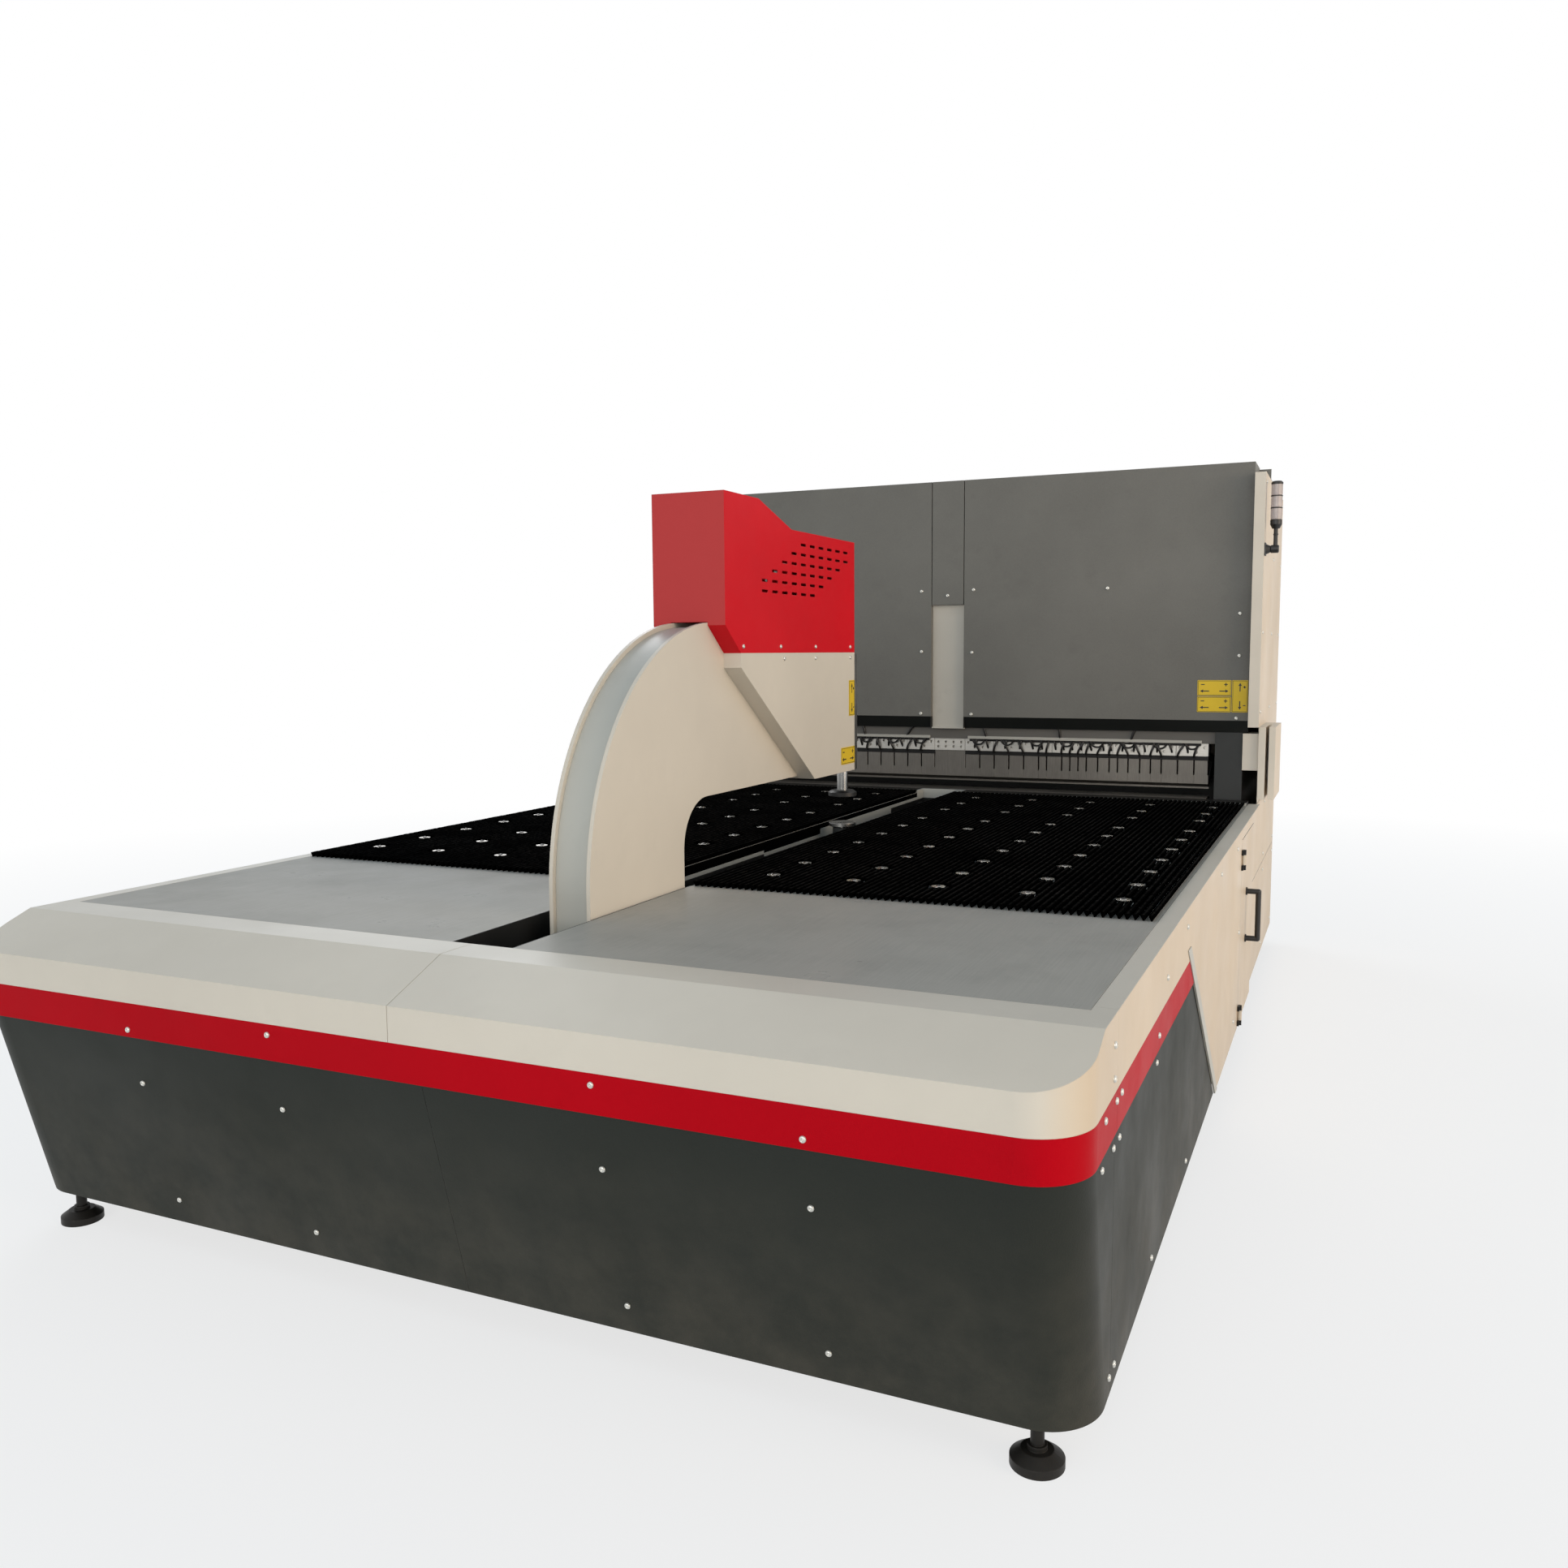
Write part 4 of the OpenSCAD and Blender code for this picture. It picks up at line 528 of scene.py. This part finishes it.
front = [on_skirt(x, z) for x in (-892, -415, 486, 965) for z in (519, 173)]
front += [(P(x, 0, z), (0, -1, 0)) for x, z in ((-887, 670), (-414, 713), (486, 714), (965, 672))]
sides = []
for s in (-1, 1):
    out = (s, 0, 0)
    sides += [(P(s * 1500, y, 719), out) for y in (199, 318, 374)] + [(P(s * 1500, 892, 690), out)]
    sides += [(P(s * 1496, y, 624), out) for y in (192, 312, 378, 889)]
    sides += [(P(s * 1496, y, 146), out) for y in (312, 367, 872, 1515)]
    sides += [(P(s * 1500, y, z), out) for y, z in ((290, 840), (290, 772), (1020, 800), (1404, 850), (2300, 850),
                                                   (2900, 850), (2900, 180), (3040, 500))]
    sides += [(P(s * 1485, y, z), out) for y in (3720, 4500, 5160) for z in (150, 520, 600, 860)]
    sides += [(P(s * 1485, y, z), out) for y in (4040, 4620, 5160) for z in (1320, 1680, 2040, 2350)]
screws("cover_screws", front + sides, "machine")
hood = [(-137, 1906), (0, 1882), (133, 1907), (788, 1897), (1386, 1767), (-136, 1604), (127, 1598), (1388, 1575),
        (-139, 1291), (125, 1290), (1382, 1288), (-788, 1897), (-1386, 1767), (-1388, 1575), (-1382, 1288)]
screws("hood_screws", [(P(x, 4046, z), (0, -1, 0)) for x, z in hood], "machine", 0.0085)
rear = [(P(x, 5250, z), (0, 1, 0)) for x in (-1450, -740, -60, 60, 740, 1450) for z in (140, 880, 1620, 2350)]
screws("rear_screws", rear, "machine", 0.0085)
arm_screws = []
for s in (-1, 1):
    arm_screws += [(P(s * 126, y, 1623), (s, 0, 0)) for y in (1468, 1752, 2051, 2388)]
    arm_screws += [(P(s * 126, y, 1583), (s, 0, 0)) for y in (1780, 2051, 2388)]
screws("head_screws", arm_screws, "arm", 0.007)


# Louvres and latches of the rear cover

REAR = 5250


def rear_details():
    verts, faces = [], []
    section = ((0, 15), (3, 12), (8, 3), (7, 1), (0, 0))
    for x in (-1210, -1010, -520, -320, 320, 520, 1010, 1210):
        for row in range(9):
            low = 330 + 30 * row
            i, n = len(verts), len(section)
            for end in (-75, 75):
                verts.extend(P(x + end, REAR - 0.5 + y, low + z) for y, z in section)
            faces.append(tuple(reversed(range(i, i + n))))
            faces.append(tuple(range(i + n, i + 2 * n)))
            for k in range(n):
                m = (k + 1) % n
                faces.append((i + k, i + m, i + n + m, i + n + k))
    piece("rear_louvres", verts, faces, M["white_paint"], "machine")
    verts, faces = [], []
    knob = [(0.015, -0.0005), (0.015, 0.004), (0.011, 0.006), (0.010, 0.012), (0.008, 0.014), (0, 0.014)]
    for x in (-700, -45, 45, 700):
        for z in (700, 1180, 1900):
            revolve(knob, 24, P(x, REAR, z), basis((0, 1, 0)), verts, faces)
    piece("rear_latches", verts, faces, M["black_plastic"], "machine", smooth=True)


rear_details()


# Yellow axis plates with arrows

def arrow(length, width=0.0045):
    """Outline of an arrow along +x from the origin."""
    head, wing = 0.014, 0.0075
    w = width / 2
    return [(0, -w), (length - head, -w), (length - head, -wing), (length, 0), (length - head, wing),
            (length - head, w), (0, w)]


def bar(length, width=0.004):
    return [(-length / 2, -width / 2), (length / 2, -width / 2), (length / 2, width / 2), (-length / 2, width / 2)]


def turned(outline, degrees, dx, dy):
    c, s = math.cos(math.radians(degrees)), math.sin(math.radians(degrees))
    return [(c * x - s * y + dx, s * x + c * y + dy) for x, y in outline]


def axis_plate(name, centre, normal, w, h, body):
    """Plate with a thin frame line, a pair of opposed arrows, and minus and plus signs."""
    turn = Matrix(((1, 0, 0), (0, 0, -1), (0, 1, 0)) if normal[1] else ((0, 0, 1), (1, 0, 0), (0, 1, 0)))
    verts, faces = [], []
    prism(rounded_rect(w, h, 0.004), -0.0004, 0.0012, turn, centre, verts, faces)
    plates = len(faces)
    wide = w >= h
    along = w if wide else h
    inks = []
    spin, off = (0, -0.2 * h) if wide else (90, 0)
    gap = along * 0.5 - 0.012
    length = along * 0.27
    for k in (0, 180):
        shaft = turned([(x + gap - length, y) for x, y in arrow(length)], k, 0, 0)
        inks.append(turned(shaft, spin, 0, off))
    size, plus = (0.016, (gap - 0.012, h * 0.22)) if wide else (0.011, (w * 0.28, gap - 0.02))
    minus = (-plus[0], plus[1]) if wide else (plus[0], -plus[1])
    inks += [turned(bar(size), 0, *plus), turned(bar(size), 90, *plus), turned(bar(size), 0, *minus)]
    edge, line = 0.004, 0.0014
    for s in (1, -1):
        inks.append(turned(bar(w - 2 * edge, line), 0, 0, s * (h / 2 - edge)))
    for s in (1, -1):
        inks.append(turned(bar(line, h - 2 * edge), 0, s * (w / 2 - edge), 0))
    for outline in inks:
        prism(outline, 0.0010, 0.0016, turn, centre, verts, faces)
    obj = piece(name, verts, faces, [YELLOW, INK], body)
    for k, polygon in enumerate(obj.data.polygons):
        polygon.material_index = 0 if k < plates else 1


axis_plate("axis_plate_upper", P(1283, 4046, 1427), (0, -1, 0), 0.150, 0.072, "machine")
axis_plate("axis_plate_lower", P(1283, 4046, 1351), (0, -1, 0), 0.150, 0.072, "machine")
axis_plate("axis_plate_side", P(1396, 4046, 1389), (0, -1, 0), 0.070, 0.148, "machine")
axis_plate("axis_plate_press", P(126, 2404, 1429), (1, 0, 0), 0.058, 0.136, "arm")
axis_plate("axis_plate_feed", P(126, 2364, 1211), (1, 0, 0), 0.140, 0.065, "arm")


# Hoses in front of the tool holders

TOOL_SHARES = (15, 15, 15, 15, 15, 8, 15, 8, 8, 8, 11, 11, 8, 10, 11, 10, 10, 15, 15, 13)


def hoses():
    rng = random.Random(5)
    joints = [-1260 + 73.75 * i for i in range(1, 16)]
    x = 80
    for share in TOOL_SHARES[:-1]:
        x += 5 * share
        joints.append(x)
    face = 4097
    drops, runs, feeds = [], [], []
    for joint in joints:
        if abs(joint) < 100:
            continue
        lean = rng.choice((-1, 1)) * rng.uniform(12, 30)
        out = rng.uniform(10, 14)
        drops.append([P(joint + lean, face - 7, 1163), P(joint + 0.8 * lean, face - out, 1150),
                      P(joint + 0.3 * lean, face - out - 2, 1125), P(joint, face - 6, 1104), P(joint, face - 2, 1096)])
        short = joint - 24 + rng.uniform(-6, 6)
        drops.append([P(short - 0.4 * lean, face - 7, 1163), P(short - 0.3 * lean, face - 10, 1150),
                      P(short - 0.1 * lean, face - 7, 1135), P(short, face + 2, 1119)])
    for s in (-1, 1):
        for z, y in ((1161, 4088), (1156, 4090)):
            runs.append([P(s * k, y + rng.uniform(-1, 1), z + rng.uniform(-1.2, 1.2)) for k in range(106, 1236, 70)])
    for x, swing in ((-1040, 30), (-760, -25), (-470, 20), (-175, -60), (176, 22), (560, 6), (930, -30)):
        feeds.append([P(x, 4090, 1310), P(x, 4080, 1275), P(x, 4078, 1245), P(x + 0.5 * swing, 4078, 1205),
                      P(x + swing, 4086, 1160)])
    tube("drop_hoses", drops, 0.005, HOSE, "upper_beam")
    tube("air_lines", runs, 0.0035, HOSE, "upper_beam")
    tube("feed_hoses", feeds, 0.006, HOSE, "upper_beam")


hoses()


# Signal tower

def tower():
    x, y, z = 1530, 4020, 2050
    verts, faces, marks = [], [], []

    def part(profile, sides, index, centre=(x, y, z), turn=Matrix.Identity(3)):
        before = len(faces)
        revolve([(r / 1000, h / 1000) for r, h in profile], sides, P(*centre), turn, verts, faces)
        marks.extend([index] * (len(faces) - before))

    across = Matrix.Rotation(math.radians(90), 3, "Y")
    part([(0, -20.5), (15, -20.5), (18, -17), (18, 11), (15, 15), (0, 15)], 32, 0, turn=across)
    part([(9, 12), (9, 60), (11, 62), (11, 66), (9, 68), (9, 92)], 24, 0)
    part([(0, 90), (16, 90), (25, 108), (25, 128), (23, 130), (0, 130)], 40, 0)
    for k in range(3):
        low = 130 + 53 * k
        part([(0, low), (22.6, low), (23, low + 4), (23, low + 46), (22.6, low + 50), (0, low + 50)], 40, 1)
        for a in range(20):
            t = 2 * math.pi * a / 20
            part([(0, low + 3), (1.1, low + 3), (1.1, low + 47), (0, low + 47)], 6, 1,
                 (x + 22.9 * math.cos(t), y + 22.9 * math.sin(t), z))
        part([(0, low + 48), (25, low + 48), (25, low + 53), (0, low + 53)], 40, 0)
    part([(0, 289), (25, 289), (25, 292), (19, 298), (0, 298)], 40, 0)
    obj = piece("beacon", verts, faces, [M["black_plastic"], LENS], "signal_tower")
    for polygon, mark in zip(obj.data.polygons, marks):
        polygon.material_index = mark
    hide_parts("signal_tower")


tower()


# Stage

HORIZON = (0.88, 0.87, 0.85, 1)
ZENITH = (0.23, 0.335, 0.43, 1)
BACKGROUND = (1, 1, 1, 1)


def seen_directly(tree):
    """1 for the rays that show the background: camera, mirror and glass rays."""
    path = add(tree, "ShaderNodeLightPath")
    seen = path.outputs["Is Camera Ray"]
    for kind in ("Is Glossy Ray", "Is Transmission Ray"):
        seen = highest(tree, seen, path.outputs[kind])
    return seen


def backdrop():
    bpy.ops.mesh.primitive_plane_add(size=80, location=(0, 0, 0))
    floor = bpy.context.object
    floor.name = "floor"
    material, tree, bsdf = new_material("pale_floor")
    bsdf.inputs["Base Color"].default_value = (0.86, 0.86, 0.85, 1)
    bsdf.inputs["Roughness"].default_value = 0.9
    # The floor keeps the shadow near the machine and fades into the white background farther out
    reach = add(tree, "ShaderNodeVectorMath", {0: coords(tree)}, operation="LENGTH").outputs["Value"]
    fade = ranged(tree, reach, 3.5, 9.0, 0.72, 1.0)
    glow = add(tree, "ShaderNodeEmission", {"Color": BACKGROUND, "Strength": 1.0})
    both = add(tree, "ShaderNodeMixShader", {0: times(tree, seen_directly(tree), fade), 1: bsdf.outputs[0],
                                             2: glow.outputs[0]})
    tree.links.new(both.outputs[0], tree.nodes["Material Output"].inputs["Surface"])
    floor.data.materials.append(material)

    world = bpy.data.worlds.new("studio")
    bpy.context.scene.world = world
    world.use_nodes = True
    tree = world.node_tree
    up = axis(tree, add(tree, "ShaderNodeTexCoord").outputs["Generated"], 2)
    tree.links.new(mixed(tree, ranged(tree, up, 0.0, 0.8), HORIZON, ZENITH), tree.nodes["Background"].inputs["Color"])
    white = add(tree, "ShaderNodeBackground", {"Color": BACKGROUND, "Strength": 1.0})
    both = add(tree, "ShaderNodeMixShader", {0: seen_directly(tree), 1: tree.nodes["Background"].outputs[0],
                                             2: white.outputs[0]})
    tree.links.new(both.outputs[0], tree.nodes["World Output"].inputs["Surface"])


def lamp(name, place, target, size, power, colour):
    data = bpy.data.lights.new(name, "AREA")
    data.shape = "RECTANGLE"
    data.size, data.size_y = size
    data.energy = power
    data.color = colour
    obj = bpy.data.objects.new(name, data)
    bpy.context.scene.collection.objects.link(obj)
    obj.location = place
    obj.rotation_euler = (Vector(target) - Vector(place)).to_track_quat("-Z", "Y").to_euler()


def camera():
    data = bpy.data.cameras.new("photo_view")
    data.sensor_fit = "HORIZONTAL"
    data.sensor_width = 36
    data.lens = 29.32
    data.clip_end = 200
    obj = bpy.data.objects.new("photo_view", data)
    bpy.context.scene.collection.objects.link(obj)
    right, up, back = (0.91074, 0.41291, -0.00718), (-0.03549, 0.09556, 0.99479), (0.41145, -0.90574, 0.10168)
    place = (1.9166, -4.795, 1.600)
    obj.matrix_world = Matrix([(right[i], up[i], back[i], place[i]) for i in range(3)] + [(0, 0, 0, 1)])
    bpy.context.scene.camera = obj


backdrop()
lamp("key", (13.0, -3.0, 3.6), (0.8, -0.3, 1.0), (7, 6), 790, (1.0, 0.80, 0.60))
lamp("fill", (0.5, -16.0, 4.2), (0, -1.0, 0.8), (8, 6), 670, (1.0, 0.97, 0.92))
lamp("rear", (-9.0, 9.0, 9.0), (0, 2.0, 1.2), (7, 6), 480, (0.97, 0.98, 1.0))
camera()
bpy.context.scene.view_settings.view_transform = "Standard"
